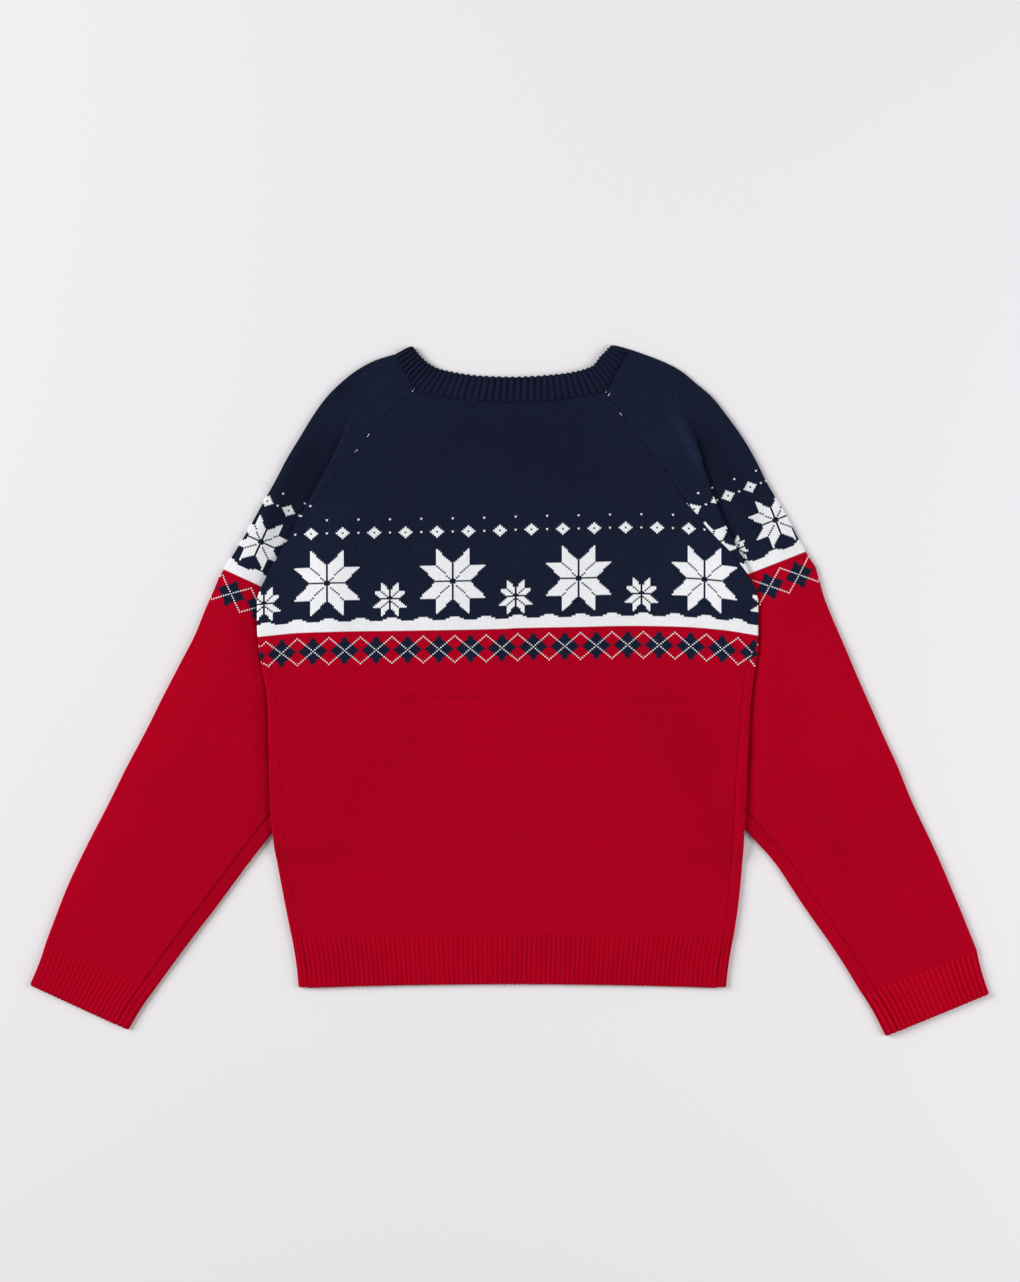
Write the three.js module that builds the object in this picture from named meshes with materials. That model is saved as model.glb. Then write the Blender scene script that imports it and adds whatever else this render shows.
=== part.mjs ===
import * as THREE from 'three';

// A knitted raglan sweater laid flat, front side down and back side up, with both sleeves
// turned down so that each one lies under the body along a soft fold.
// Sizes are in millimetres. X runs across the sweater, Y towards the neck, Z up.

// Driving dimensions
const WALL = 1.8; // thickness of the knitted cloth
const LAYER = 2.2; // pitch of two layers that lie on each other
const SEAM_GAP = 0.4; // space between two pieces along a seam
const ROLLED_GAP = 2.2; // the same where the seam lies in a fold
const UNDERARM_GAP = 1.2; // further space at the underarm's hidden corner
const NECK_EASE = 0.6; // further dip of the front panel under its neckband
const ROLL = LAYER / 2; // middle radius of a soft fold in one layer
const FLOOR = WALL / 2; // middle of the layer that lies on the surface
const TOP = FLOOR + LAYER; // middle of the layer above it
const STACK = 2 * LAYER + 0.2; // rise of the body where it lies on a sleeve
const RIB_PITCH = 4.7; // one knit rib and one purl furrow of the hem and the cuffs
const RIB_RISE = 0.7; // height of a rib over its furrow
const HEM_BOW = 3.5; // how far the hem is higher at its middle
const BACK_NECK_SAG = 10; // dip of the back neck seam
const FRONT_NECK_SAG = 41; // dip of the front neck seam
const SLEEVE_SEAM_INSET = 12; // underarm seam, in from the sleeve's inner fold
const BACK_CROWN = 1.4; // softness of the back between its edges
const SLEEVE_CROWN = 2.2; // softness of the sleeve that shows
const TUCK = 8; // cloth turned under along the shoulder fold
const FOLD_LEAD = 4; // what a sleeve's fold adds to the width that lies under the body
const FOLD_RUN = 14; // level stretch of a sleeve next to its shoulder fold
const LEAST_RUN = 2; // least width between that stretch and the outer zone
const OUTER_ZONE = 10; // width of the fine columns at a sleeve's outer fold
const INNER_ZONE = 12; // width of the fine columns at a sleeve's inner fold
const END_REACH = 18; // width of the fine columns at each end of a row of the back
const FRONT_LEAD = 5; // level stretch of the front next to its side fold
const FRONT_LEVEL = 4; // least level stretch before the front comes down
const ROUND_REACH = 120; // how far a section across a side fold is worked out
const SHOULDER_REACH = 90; // the same across a shoulder fold

// How far a layer keeps its height past what lies under it, and how fast it comes down
const BACK_REST = { margin: 17, ramp: 42 };
const FRONT_REST = { margin: 6, ramp: 15 };

// Columns of each block of a section
const SLEEVE_BLOCKS = { fold: 12, top: 3, outer: 5, bottom: 3, inner: 6 };
const BACK_BLOCKS = { end: 5, middle: 14 };
const FRONT_BLOCKS = { wrap: 6, raised: 2, ramp: 4, middle: 6 };
const FRONT_RAGLAN_BLOCKS = { wrap: 9, raised: 18, ramp: 33 }; // where each ends, in mm
const BACK_BAND_STEPS = { side: 20, middle: 80 };
const FRONT_BAND_STEPS = { side: 5, middle: 12 };
const BEND_WEIGHT = 14; // how much closer columns are where a section bends
const ARC_STEP = 9; // degrees between the points of a fold

// Raglan stations from the neck to the underarm. x, y: raglan seam on the back. outX, outY: shoulder
// fold of the sleeve. edge: from the seam out to the fold of the cloth over the sleeve, negative
// where the seam has rolled under it. turn: angle that this fold has turned. tuck: cloth under it.
const RAGLAN_LEFT = [
  { x: -91, y: 285, outX: -110, outY: 320, edge: 16, turn: 0, tuck: 0 },
  { x: -103, y: 276, outX: -129, outY: 314, edge: 19, turn: 0, tuck: 0 },
  { x: -116, y: 266, outX: -147, outY: 304, edge: 22, turn: 0, tuck: 0 },
  { x: -126, y: 253, outX: -163, outY: 291, edge: 24, turn: 12, tuck: 1 },
  { x: -135, y: 241, outX: -174, outY: 280, edge: 24, turn: 38, tuck: 1 },
  { x: -146, y: 227, outX: -186, outY: 264, edge: 19, turn: 88, tuck: 1 },
  { x: -159, y: 210, outX: -200, outY: 241, edge: 14, turn: 135, tuck: 1 },
  { x: -174, y: 193, outX: -212, outY: 221, edge: 9, turn: 160, tuck: 2 },
  { x: -188, y: 175, outX: -222, outY: 202, edge: 5, turn: 172, tuck: 5 },
  { x: -203, y: 156, outX: -235, outY: 179, edge: 1.2, turn: 177, tuck: TUCK },
  { x: -211, y: 144, outX: -242, outY: 166, edge: -0.2, turn: 178, tuck: TUCK },
  { x: -219, y: 132, outX: -249, outY: 153, edge: -1.2, turn: 178, tuck: TUCK },
  { x: -233, y: 108, outX: -263, outY: 130, edge: -1.2, turn: 178, tuck: TUCK },
  { x: -238, y: 98, outX: -270, outY: 119, edge: -1.2, turn: 178, tuck: TUCK },
  { x: -241, y: 88, outX: -277, outY: 108, edge: -1.2, turn: 178, tuck: TUCK },
];
const RAGLAN_RIGHT = [
  { x: 90, y: 285, outX: 112, outY: 325, edge: 30, turn: 0, tuck: 0 },
  { x: 97, y: 276, outX: 126, outY: 320, edge: 36, turn: 0, tuck: 0 },
  { x: 105, y: 266, outX: 142, outY: 314, edge: 42, turn: 0, tuck: 0 },
  { x: 113, y: 253, outX: 160, outY: 305, edge: 46, turn: 0, tuck: 0 },
  { x: 122, y: 241, outX: 176, outY: 292, edge: 48, turn: 8, tuck: 1 },
  { x: 133, y: 227, outX: 191, outY: 279, edge: 47, turn: 35, tuck: 1 },
  { x: 146, y: 210, outX: 206, outY: 260, edge: 39, turn: 85, tuck: 1 },
  { x: 157, y: 193, outX: 219, outY: 242, edge: 32, turn: 130, tuck: 1 },
  { x: 170, y: 175, outX: 231, outY: 222, edge: 25, turn: 158, tuck: 2 },
  { x: 185, y: 156, outX: 244, outY: 196, edge: 17, turn: 172, tuck: 5 },
  { x: 196, y: 144, outX: 254, outY: 179, edge: 12, turn: 175, tuck: TUCK },
  { x: 208, y: 132, outX: 264, outY: 162, edge: 7, turn: 177, tuck: TUCK },
  { x: 226, y: 108, outX: 277, outY: 137, edge: 1.2, turn: 178, tuck: TUCK },
  { x: 231.5, y: 98, outX: 283, outY: 127, edge: -0.2, turn: 178, tuck: TUCK },
  { x: 235, y: 88, outX: 289, outY: 118, edge: -1.2, turn: 178, tuck: TUCK },
];
// Front raglan seam, hidden below: where it leaves the front neck and where it ends
const FRONT_RAGLAN = {
  left: { neck: [-89, 265], underarm: [-199, 88] },
  right: { neck: [88, 265], underarm: [194, 88] },
};

// Sleeve stations from the underarm to the cuff. inX, inY: inner fold, outX, outY: outer fold,
// cover: width of the leaf that the body lies on.
const SLEEVE_LEFT = [
  { inX: -226, inY: 74, outX: -281, outY: 97.5, cover: 15 },
  { inX: -207, inY: 55, outX: -285.5, outY: 87.5, cover: 36 },
  { inX: -185, inY: 29, outX: -291.5, outY: 73.5, cover: 57 },
  { inX: -170, inY: -5, outX: -299.5, outY: 53.5, cover: 68 },
  { inX: -168, inY: -38, outX: -313.5, outY: 26.5, cover: 68 },
  { inX: -182, inY: -68, outX: -328.5, outY: -2.5, cover: 52 },
  { inX: -203.5, inY: -102, outX: -344.5, outY: -34.5, cover: 28 },
  { inX: -228, inY: -134, outX: -362.5, outY: -68.5, cover: 6 },
  { inX: -251, inY: -164, outX: -380.5, outY: -104.5, cover: 0 },
  { inX: -279, inY: -202, outX: -400, outY: -142.5, cover: 0 },
  { inX: -309, inY: -241, outX: -420, outY: -184, cover: 0 },
  { inX: -338.5, inY: -281.5, outX: -441.5, outY: -239.5, cover: 0 },
];
const SLEEVE_RIGHT = [
  { inX: 221, inY: 75, outX: 293, outY: 104.5, cover: 15 },
  { inX: 203, inY: 55, outX: 296.5, outY: 91.5, cover: 34 },
  { inX: 183, inY: 29, outX: 302.5, outY: 75.5, cover: 55 },
  { inX: 169, inY: -6, outX: 311.5, outY: 54.5, cover: 66 },
  { inX: 167, inY: -40, outX: 322.5, outY: 28.5, cover: 66 },
  { inX: 179, inY: -69, outX: 335.5, outY: -1.5, cover: 52 },
  { inX: 200.5, inY: -101.5, outX: 351.5, outY: -37.5, cover: 28 },
  { inX: 228.5, inY: -136, outX: 366.5, outY: -70.5, cover: 6 },
  { inX: 251.5, inY: -162, outX: 380, outY: -103.5, cover: 0 },
  { inX: 279.5, inY: -204, outX: 398.5, outY: -142.5, cover: 0 },
  { inX: 308.5, inY: -245, outX: 418.5, outY: -188, cover: 0 },
  { inX: 335, inY: -287.5, outX: 442.5, outY: -247, cover: 0 },
];
const CUFF_END = {
  left: { inX: -364, inY: -321, outX: -456.5, outY: -278.5 },
  right: { inX: 357, inY: -327, outX: 454, outY: -287 },
};

// Body rows from just under the underarm to the hem rib. left, right: side folds. inset: side seam
// on the back, in from the fold. underLeft, underRight: width of sleeve under the row's ends.
// start: where the front's cloth begins, measured in from the fold, null for the seam itself.
const BODY_ROWS = [
  { y: 76, left: -240, right: 234, inset: -1.2, underLeft: 26, underRight: 26, rise: STACK, start: 29 },
  { y: 65, left: -240, right: 234, inset: -1, underLeft: 24, underRight: 22, rise: STACK, start: 2 },
  { y: 46, left: -239, right: 234, inset: 1, underLeft: 41, underRight: 38, rise: STACK, start: null },
  { y: 21, left: -235, right: 231, inset: 8, underLeft: 54, underRight: 54, rise: STACK, start: null },
  { y: -9, left: -230, right: 227, inset: 8.5, underLeft: 61, underRight: 59, rise: STACK, start: null },
  { y: -43, left: -229, right: 225, inset: 9, underLeft: 61, underRight: 58, rise: STACK, start: null },
  { y: -76, left: -228.5, right: 223.5, inset: 10, underLeft: 42, underRight: 42, rise: STACK, start: null },
  { y: -109, left: -227.5, right: 222, inset: 10.5, underLeft: 21, underRight: 21, rise: STACK, start: null },
  { y: -143, left: -224.5, right: 220.5, inset: 10.5, underLeft: 5, underRight: 0, rise: STACK, start: null },
  { y: -166, left: -220.5, right: 219, inset: 10.5, underLeft: 0, underRight: 0, rise: 0, start: null },
  { y: -198, left: -214.5, right: 216, inset: 10, underLeft: 0, underRight: 0, rise: 0, start: null },
  { y: -233, left: -207.5, right: 211, inset: 8.5, underLeft: 0, underRight: 0, rise: 0, start: null },
];
const HEM_ROW = { y: -281, left: -201, right: 204 };

// Free edge of the neckband, left to right, on the back and on the hidden front
const BACK_FREE_EDGE = [
  [-95, 328], [-80, 312], [-66, 305], [-28, 299], [2, 298], [48, 301], [77, 308], [87, 319],
  [97, 329],
];
const FRONT_FREE_EDGE = [
  [-95, 328], [-84, 300], [-72, 279], [-51, 260], [-24, 249.5], [0, 247], [24, 249.5], [51, 260],
  [72, 279], [84, 300], [97, 329],
];

const NAVY = 0x181d31;
const RED = 0xaa0122;

const ease = (value) => THREE.MathUtils.smootherstep(value, 0, 1);
const radians = (degrees) => THREE.MathUtils.degToRad(degrees);

// A path is a list of { p, z }, p measured outwards in plan. These work on its length.
function lengthsOf(path, weight = 0) {
  const sums = [0];
  for (let i = 1; i < path.length; i += 1) {
    const step = Math.hypot(path[i].p - path[i - 1].p, path[i].z - path[i - 1].z);
    const bend = path[i].arc && path[i - 1].arc ? weight : 0;
    sums.push(sums[i - 1] + step * (1 + bend));
  }
  return sums;
}

function pointAt(path, sums, at) {
  let i = 1;
  while (i < path.length - 1 && sums[i] < at) i += 1;
  const span = sums[i] - sums[i - 1];
  const part = span > 0 ? (at - sums[i - 1]) / span : 0;
  const from = path[i - 1];
  const to = path[i];
  const mix = (key) => from[key] + (to[key] - from[key]) * part;
  return { p: mix('p'), z: mix('z'), arc: from.arc && to.arc };
}

// The stretch of a path between two lengths, with its own corner points kept
function stretch(path, start, end) {
  const sums = lengthsOf(path);
  const inner = path.filter((point, i) => sums[i] > start && sums[i] < end);
  return [pointAt(path, sums, start), ...inner, pointAt(path, sums, end)];
}

// Even columns along a path, closer together where it bends
function columns(path, count) {
  const sums = lengthsOf(path, BEND_WEIGHT);
  const total = sums[sums.length - 1];
  return Array.from({ length: count + 1 }, (unused, i) => pointAt(path, sums, (total * i) / count));
}

// An arc from one heading to another, both measured down from outwards
function arcFrom(point, fromTurn, toTurn, radius) {
  const steps = Math.max(2, Math.ceil(Math.abs(toTurn - fromTurn) / ARC_STEP));
  const way = Math.sign(toTurn - fromTurn) || 1;
  const points = [];
  for (let i = 0; i <= steps; i += 1) {
    const angle = radians(fromTurn + ((toTurn - fromTurn) * i) / steps);
    const start = radians(fromTurn);
    points.push({
      p: point.p + way * radius * (Math.sin(angle) - Math.sin(start)),
      z: point.z - way * radius * (Math.cos(start) - Math.cos(angle)),
      arc: true,
    });
  }
  return points;
}

const gapAt = (inset) => (inset < 3 ? ROLLED_GAP : SEAM_GAP) / 2;

function lift(depth, under, rise, rest) {
  return rise * ease((under + rest.margin + rest.ramp - depth) / rest.ramp);
}

function riseOf(station) {
  const turn = radians(station.turn);
  return 2 * ROLL * (1 - Math.cos(turn)) + station.tuck * Math.sin(turn);
}

// Section of the cloth across the shoulder fold: level, over the fold, back under it, and out again
// as the sleeve's top leaf, level for a run. p is 0 at the fold's outermost point.
function shoulderFold(station, run = FOLD_RUN) {
  const rise = riseOf(station);
  const reach = ROLL * Math.sin(radians(Math.min(station.turn, 90)));
  const level = [];
  for (let depth = SHOULDER_REACH; depth > reach; depth -= 3) {
    level.push({ p: -depth, z: TOP + lift(depth, TUCK + FOLD_LEAD, rise, BACK_REST) });
  }
  const over = arcFrom({ p: -reach, z: TOP + rise }, 0, station.turn, ROLL);
  const turnedAt = over[over.length - 1];
  const under = {
    p: turnedAt.p + station.tuck * Math.cos(radians(station.turn)),
    z: turnedAt.z - station.tuck * Math.sin(radians(station.turn)),
  };
  const back = arcFrom(under, station.turn, 0, ROLL);
  const path = [...level, ...over, ...back, { p: run, z: TOP }];
  const sums = lengthsOf(path);
  const tip = level.length + Math.round((over.length - 1) * Math.min(1, 90 / Math.max(station.turn, 1)));
  return { path, foldAt: sums[tip], total: sums[sums.length - 1] };
}

// Section across the body's side fold: level on the back, round the side, level under it
function sideFold(row, under) {
  const level = [];
  for (let depth = ROUND_REACH; depth > ROLL; depth -= 3) {
    level.push({ p: -depth, z: TOP + lift(depth, under, row.rise, BACK_REST) });
  }
  const round = arcFrom({ p: -ROLL, z: TOP + row.rise }, 0, 180, ROLL);
  const below = [];
  for (let depth = ROLL + 2; depth < ROUND_REACH; depth += 2) {
    below.push({ p: -depth, z: FLOOR + lift(depth, under, row.rise, FRONT_REST) });
  }
  const path = [...level, ...round, ...below];
  const sums = lengthsOf(path);
  const foldAt = sums[level.length + (round.length - 1) / 2];
  return { path, foldAt, belowAt: sums[level.length + round.length - 1], total: sums[sums.length - 1] };
}

// Plan frames: a fold point with the way outwards across it
function raglanFrame(station) {
  const seam = new THREE.Vector2(station.x, station.y);
  const out = new THREE.Vector2(station.outX, station.outY);
  const way = out.clone().sub(seam).normalize();
  const fold = seam.clone().addScaledVector(way, station.edge);
  return { seam, out, way, fold };
}

const place = (origin, way, point) => new THREE.Vector3(
  origin.x + way.x * point.p,
  origin.y + way.y * point.p,
  point.z,
);

const fromNeck = (stations, k) => (stations[0].y - stations[k].y) / (stations[0].y - stations.at(-1).y);

function frontRaglanAt(side, stations, k) {
  const { neck, underarm } = FRONT_RAGLAN[side];
  return new THREE.Vector2(...neck).lerp(new THREE.Vector2(...underarm), fromNeck(stations, k));
}

// Height of a soft crown over a leaf, nothing at its two edges
const crownAt = (part, height) => height * Math.sin(Math.PI * THREE.MathUtils.clamp(part, 0, 1)) ** 0.8;

// Middle surface of one sleeve at a raglan station, from the back seam round to the front seam
function raglanSection(side, stations, k) {
  const station = stations[k];
  const { out, way, fold } = raglanFrame(station);
  const front = frontRaglanAt(side, stations, k);
  const inwards = front.clone().sub(out).normalize();
  const width = fold.distanceTo(out);
  const topEnd = width - OUTER_ZONE;
  const { path, foldAt, total } = shoulderFold(station, Math.min(FOLD_RUN, topEnd - LEAST_RUN));
  const hidden = k === stations.length - 1 ? UNDERARM_GAP : 0;
  const start = foldAt - station.edge + gapAt(station.edge) + hidden;
  const folded = columns(stretch(path, start, total), SLEEVE_BLOCKS.fold);
  const openFrom = folded.at(-1).p;
  const row = folded.map((point) => place(fold, way, point));
  for (let i = 1; i <= SLEEVE_BLOCKS.top; i += 1) {
    const p = openFrom + ((topEnd - openFrom) * i) / SLEEVE_BLOCKS.top;
    const part = (p - openFrom) / (width - openFrom);
    const z = TOP + crownAt(part, SLEEVE_CROWN * 0.5 * (station.turn / 180));
    row.push(place(fold, way, { p, z }));
  }
  const reach = out.distanceTo(front) - SEAM_GAP / 2;
  row.push(...outerFold(out, way, inwards, row.at(-1).z).slice(1));
  row.push(...level(out, inwards, OUTER_ZONE, reach - INNER_ZONE, SLEEVE_BLOCKS.bottom).slice(1));
  row.push(...level(out, inwards, reach - INNER_ZONE, reach, SLEEVE_BLOCKS.inner).slice(1));
  return row;
}

// Outer fold of a sleeve, from the top leaf round to the bottom leaf
function outerFold(out, way, inwards, topZ) {
  const before = [{ p: -OUTER_ZONE, z: topZ }, { p: -ROLL - 3, z: TOP + (topZ - TOP) * 0.5 }];
  const round = arcFrom({ p: -ROLL, z: TOP }, 0, 180, ROLL);
  const path = [...before, ...round, { p: -OUTER_ZONE, z: FLOOR }];
  const middle = FLOOR + ROLL;
  return columns(path, SLEEVE_BLOCKS.outer).map((point) => (point.z >= middle
    ? place(out, way, point)
    : place(out, inwards, { p: -point.p, z: point.z })));
}

function level(origin, way, from, to, count) {
  return Array.from({ length: count + 1 }, (unused, i) => place(origin, way, {
    p: from + ((to - from) * i) / count,
    z: FLOOR,
  }));
}

// Middle surface of one sleeve at a station below the underarm, from seam round to seam
function sleeveSection(station) {
  const inner = new THREE.Vector2(station.inX, station.inY);
  const out = new THREE.Vector2(station.outX, station.outY);
  const way = out.clone().sub(inner).normalize();
  const inwards = way.clone().negate();
  const width = inner.distanceTo(out);
  const crown = (p) => TOP + crownAt((p - station.cover) / (width - station.cover), SLEEVE_CROWN);
  const topFrom = SLEEVE_SEAM_INSET + SEAM_GAP / 2;
  const topTo = width - OUTER_ZONE;
  const row = [];
  const count = SLEEVE_BLOCKS.fold + SLEEVE_BLOCKS.top;
  for (let i = 0; i <= count; i += 1) {
    const p = topFrom + (topTo - topFrom) * (i / count) ** 1.25;
    row.push(place(inner, way, { p, z: crown(p) }));
  }
  row.push(...outerFold(out, way, inwards, row.at(-1).z).slice(1));
  row.push(...level(out, inwards, OUTER_ZONE, width - INNER_ZONE, SLEEVE_BLOCKS.bottom).slice(1));
  const round = arcFrom({ p: -ROLL, z: FLOOR }, 0, -180, ROLL);
  const last = SLEEVE_SEAM_INSET - SEAM_GAP / 2;
  const path = [{ p: -INNER_ZONE, z: FLOOR }, ...round, { p: -last, z: crown(last) }];
  row.push(...columns(path, SLEEVE_BLOCKS.inner).slice(1).map((point) => place(inner, inwards, point)));
  return row;
}

function sleeveRows(side) {
  const raglan = side === 'left' ? RAGLAN_LEFT : RAGLAN_RIGHT;
  const tube = side === 'left' ? SLEEVE_LEFT : SLEEVE_RIGHT;
  return [...raglan.map((station, k) => raglanSection(side, raglan, k)), ...tube.map(sleeveSection)];
}

// One end of a body row: the fold, the way out across it, and the section there
function raglanEnd(station) {
  const { seam, way } = raglanFrame(station);
  const { path, foldAt } = shoulderFold(station);
  const sideways = new THREE.Vector2(Math.sign(station.x), 0);
  const towards = ease(1 - station.edge / FOLD_RUN);
  const bent = sideways.lerp(way, towards).normalize();
  const origin = seam.clone().addScaledVector(bent, station.edge);
  const rise = riseOf(station);
  return { origin, way: bent, path, foldAt, inset: station.edge, under: TUCK + FOLD_LEAD, rise };
}

function sideEnd(row, side) {
  const under = side === 'left' ? row.underLeft : row.underRight;
  const origin = new THREE.Vector2(row[side], row.y);
  const way = new THREE.Vector2(side === 'left' ? -1 : 1, 0);
  return { origin, way, ...sideFold(row, under), inset: row.inset, under, rise: row.rise };
}

// Spread of the middle columns of a row, closer together towards its ends
const spread = (i, count) => 0.5 * (1 - Math.cos((Math.PI * i) / count));

const UNDERARM_Y = RAGLAN_LEFT.at(-1).y;
const NECK_Y = RAGLAN_LEFT[0].y;
const HEM_SEAM_Y = BODY_ROWS.at(-1).y;

function bowOf(y, neckSag) {
  if (y > UNDERARM_Y) return -neckSag * ((y - UNDERARM_Y) / (NECK_Y - UNDERARM_Y)) ** 2;
  return HEM_BOW * ((UNDERARM_Y - y) / (UNDERARM_Y - HEM_SEAM_Y)) ** 2;
}

function backRow(leftEnd, rightEnd, y, crownPart) {
  const half = (end) => {
    const to = end.foldAt - end.inset - gapAt(end.inset);
    return columns(stretch(end.path, to - END_REACH, to), BACK_BLOCKS.end)
      .map((point) => place(end.origin, end.way, point));
  };
  const left = half(leftEnd).reverse();
  const right = half(rightEnd);
  const from = left.at(-1);
  const to = right[0];
  const row = [...left];
  const width = to.x - from.x;
  for (let i = 1; i < BACK_BLOCKS.middle; i += 1) {
    const part = spread(i, BACK_BLOCKS.middle);
    const x = from.x + width * part;
    const leftDepth = leftEnd.inset + END_REACH + x - from.x;
    const rightDepth = rightEnd.inset + END_REACH + to.x - x;
    const z = TOP + lift(leftDepth, leftEnd.under, leftEnd.rise, BACK_REST)
      + lift(rightDepth, rightEnd.under, rightEnd.rise, BACK_REST)
      + crownAt(part, BACK_CROWN) * crownPart;
    row.push(new THREE.Vector3(x, from.y + (to.y - from.y) * part, z));
  }
  return bowed([...row, ...right], bowOf(y, BACK_NECK_SAG));
}

// A row with its middle moved along Y, nothing at its two ends
function bowed(row, bow) {
  const first = row[0].x;
  const width = row.at(-1).x - first;
  return row.map((point) => {
    const part = (point.x - first) / width;
    return new THREE.Vector3(point.x, point.y + bow * 4 * part * (1 - part), point.z);
  });
}

function backRows() {
  const upper = RAGLAN_LEFT.map((station, k) => {
    const leftEnd = raglanEnd(station);
    const rightEnd = raglanEnd(RAGLAN_RIGHT[k]);
    return backRow(leftEnd, rightEnd, station.y, crownAt(fromNeck(RAGLAN_LEFT, k) / 2, 1));
  });
  const lower = BODY_ROWS.map((row) => {
    const part = (UNDERARM_Y - row.y) / (UNDERARM_Y - HEM_SEAM_Y);
    return backRow(sideEnd(row, 'left'), sideEnd(row, 'right'), row.y, crownAt(0.5 + part / 2, 1));
  });
  return [...upper, ...lower];
}

// Half a row of the front, from its edge inwards: the wrap round the side, then the raised leaf
function frontHalf(end, start) {
  const seamAt = end.foldAt - end.inset + gapAt(end.inset);
  const from = start === null ? seamAt : end.belowAt + start - ROLL;
  const raisedFrom = Math.max(from, end.belowAt) + FRONT_LEAD;
  const rampFrom = Math.max(raisedFrom + FRONT_LEVEL, end.belowAt + end.under + FRONT_REST.margin);
  const rampTo = rampFrom + FRONT_REST.ramp;
  const wrap = columns(stretch(end.path, from, raisedFrom), FRONT_BLOCKS.wrap);
  const raised = columns(stretch(end.path, raisedFrom, rampFrom), FRONT_BLOCKS.raised);
  const ramp = columns(stretch(end.path, rampFrom, rampTo), FRONT_BLOCKS.ramp);
  return [...wrap, ...raised.slice(1), ...ramp.slice(1)].map((point) => place(end.origin, end.way, point));
}

function joinHalves(left, right, bow) {
  const from = left.at(-1);
  const to = right.at(-1);
  const row = [...left];
  for (let i = 1; i < FRONT_BLOCKS.middle; i += 1) {
    const part = i / FRONT_BLOCKS.middle;
    row.push(new THREE.Vector3().lerpVectors(from, to, part));
  }
  return bowed([...row, ...right.reverse()], bow);
}

function frontRows() {
  const upper = RAGLAN_LEFT.map((station, k) => {
    const half = (side, stations) => {
      const seam = frontRaglanAt(side, stations, k);
      const way = new THREE.Vector2(side === 'left' ? 1 : -1, 0);
      const ends = FRONT_RAGLAN_BLOCKS;
      const wrap = level(seam, way, SEAM_GAP / 2, ends.wrap, FRONT_BLOCKS.wrap);
      const raised = level(seam, way, ends.wrap, ends.raised, FRONT_BLOCKS.raised);
      const ramp = level(seam, way, ends.raised, ends.ramp, FRONT_BLOCKS.ramp);
      return [...wrap, ...raised.slice(1), ...ramp.slice(1)];
    };
    return joinHalves(
      half('left', RAGLAN_LEFT),
      half('right', RAGLAN_RIGHT),
      bowOf(station.y, FRONT_NECK_SAG + NECK_EASE),
    );
  });
  const lower = BODY_ROWS.map((row) => joinHalves(
    frontHalf(sideEnd(row, 'left'), row.start),
    frontHalf(sideEnd(row, 'right'), row.start),
    bowOf(row.y, 0),
  ));
  return [...upper, ...lower];
}

// Closed wall round a grid of middle points. raise(i, j) lifts the outer points, and the inner
// face uses only the listed columns, so that raised ribs stand over a plain inside.
function wallSolid(rows, options = {}) {
  const { raise = () => 0, plainColumns = null, ring = false, flip = false } = options;
  const lastRow = rows.length - 1;
  const count = rows[0].length;
  const across = (i, j) => rows[i][ring ? (j + count) % count : Math.min(Math.max(j, 0), count - 1)];
  const along = (i, j) => rows[Math.min(Math.max(i, 0), lastRow)][j];
  const sign = flip ? -1 : 1;
  const outer = [];
  const inner = [];
  const positions = [];
  const keep = (point) => {
    positions.push(point.x, point.y, point.z);
    return positions.length / 3 - 1;
  };
  for (let i = 0; i <= lastRow; i += 1) {
    outer.push([]);
    inner.push([]);
    for (let j = 0; j < count; j += 1) {
      const alongRow = across(i, j + 1).clone().sub(across(i, j - 1));
      const downRows = along(i + 1, j).clone().sub(along(i - 1, j));
      const normal = new THREE.Vector3().crossVectors(downRows, alongRow).normalize();
      const half = (sign * WALL) / 2;
      const point = rows[i][j];
      outer[i].push(keep(point.clone().addScaledVector(normal, half + sign * raise(i, j))));
      inner[i].push(keep(point.clone().addScaledVector(normal, -half)));
    }
  }
  const faces = [];
  const face = (a, b, c) => faces.push(...(flip ? [a, c, b] : [a, b, c]));
  const outerColumns = Array.from({ length: count }, (unused, j) => j);
  const innerColumns = plainColumns ?? outerColumns;
  const close = (list) => (ring ? [...list, list[0]] : list);
  const outerRing = close(outerColumns);
  const innerRing = close(innerColumns);
  for (let i = 0; i < lastRow; i += 1) {
    for (let k = 0; k < outerRing.length - 1; k += 1) {
      const [a, b] = [outerRing[k], outerRing[k + 1]];
      face(outer[i][a], outer[i + 1][a], outer[i + 1][b]);
      face(outer[i][a], outer[i + 1][b], outer[i][b]);
    }
    for (let k = 0; k < innerRing.length - 1; k += 1) {
      const [a, b] = [innerRing[k], innerRing[k + 1]];
      face(inner[i][a], inner[i + 1][b], inner[i + 1][a]);
      face(inner[i][a], inner[i][b], inner[i + 1][b]);
    }
  }
  // Edge strips along the first and the last row
  for (const [i, turned] of [[0, false], [lastRow, true]]) {
    const strip = (a, b, c) => (turned ? face(a, c, b) : face(a, b, c));
    for (let k = 0; k < innerRing.length - 1; k += 1) {
      const from = innerRing[k];
      const to = innerRing[k + 1];
      const stop = to > from ? to : count;
      for (let j = from; j < stop; j += 1) {
        strip(outer[i][j], outer[i][(j + 1) % count], inner[i][from]);
      }
      strip(outer[i][to], inner[i][to], inner[i][from]);
    }
  }
  if (!ring) {
    for (const [j, turned] of [[0, true], [count - 1, false]]) {
      for (let i = 0; i < lastRow; i += 1) {
        const strip = (a, b, c) => (turned ? face(a, c, b) : face(a, b, c));
        strip(outer[i][j], outer[i + 1][j], inner[i + 1][j]);
        strip(outer[i][j], inner[i + 1][j], inner[i][j]);
      }
    }
  }
  const geometry = new THREE.BufferGeometry();
  geometry.setAttribute('position', new THREE.Float32BufferAttribute(positions, 3));
  geometry.setIndex(faces);
  geometry.computeVertexNormals();
  return geometry;
}

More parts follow.
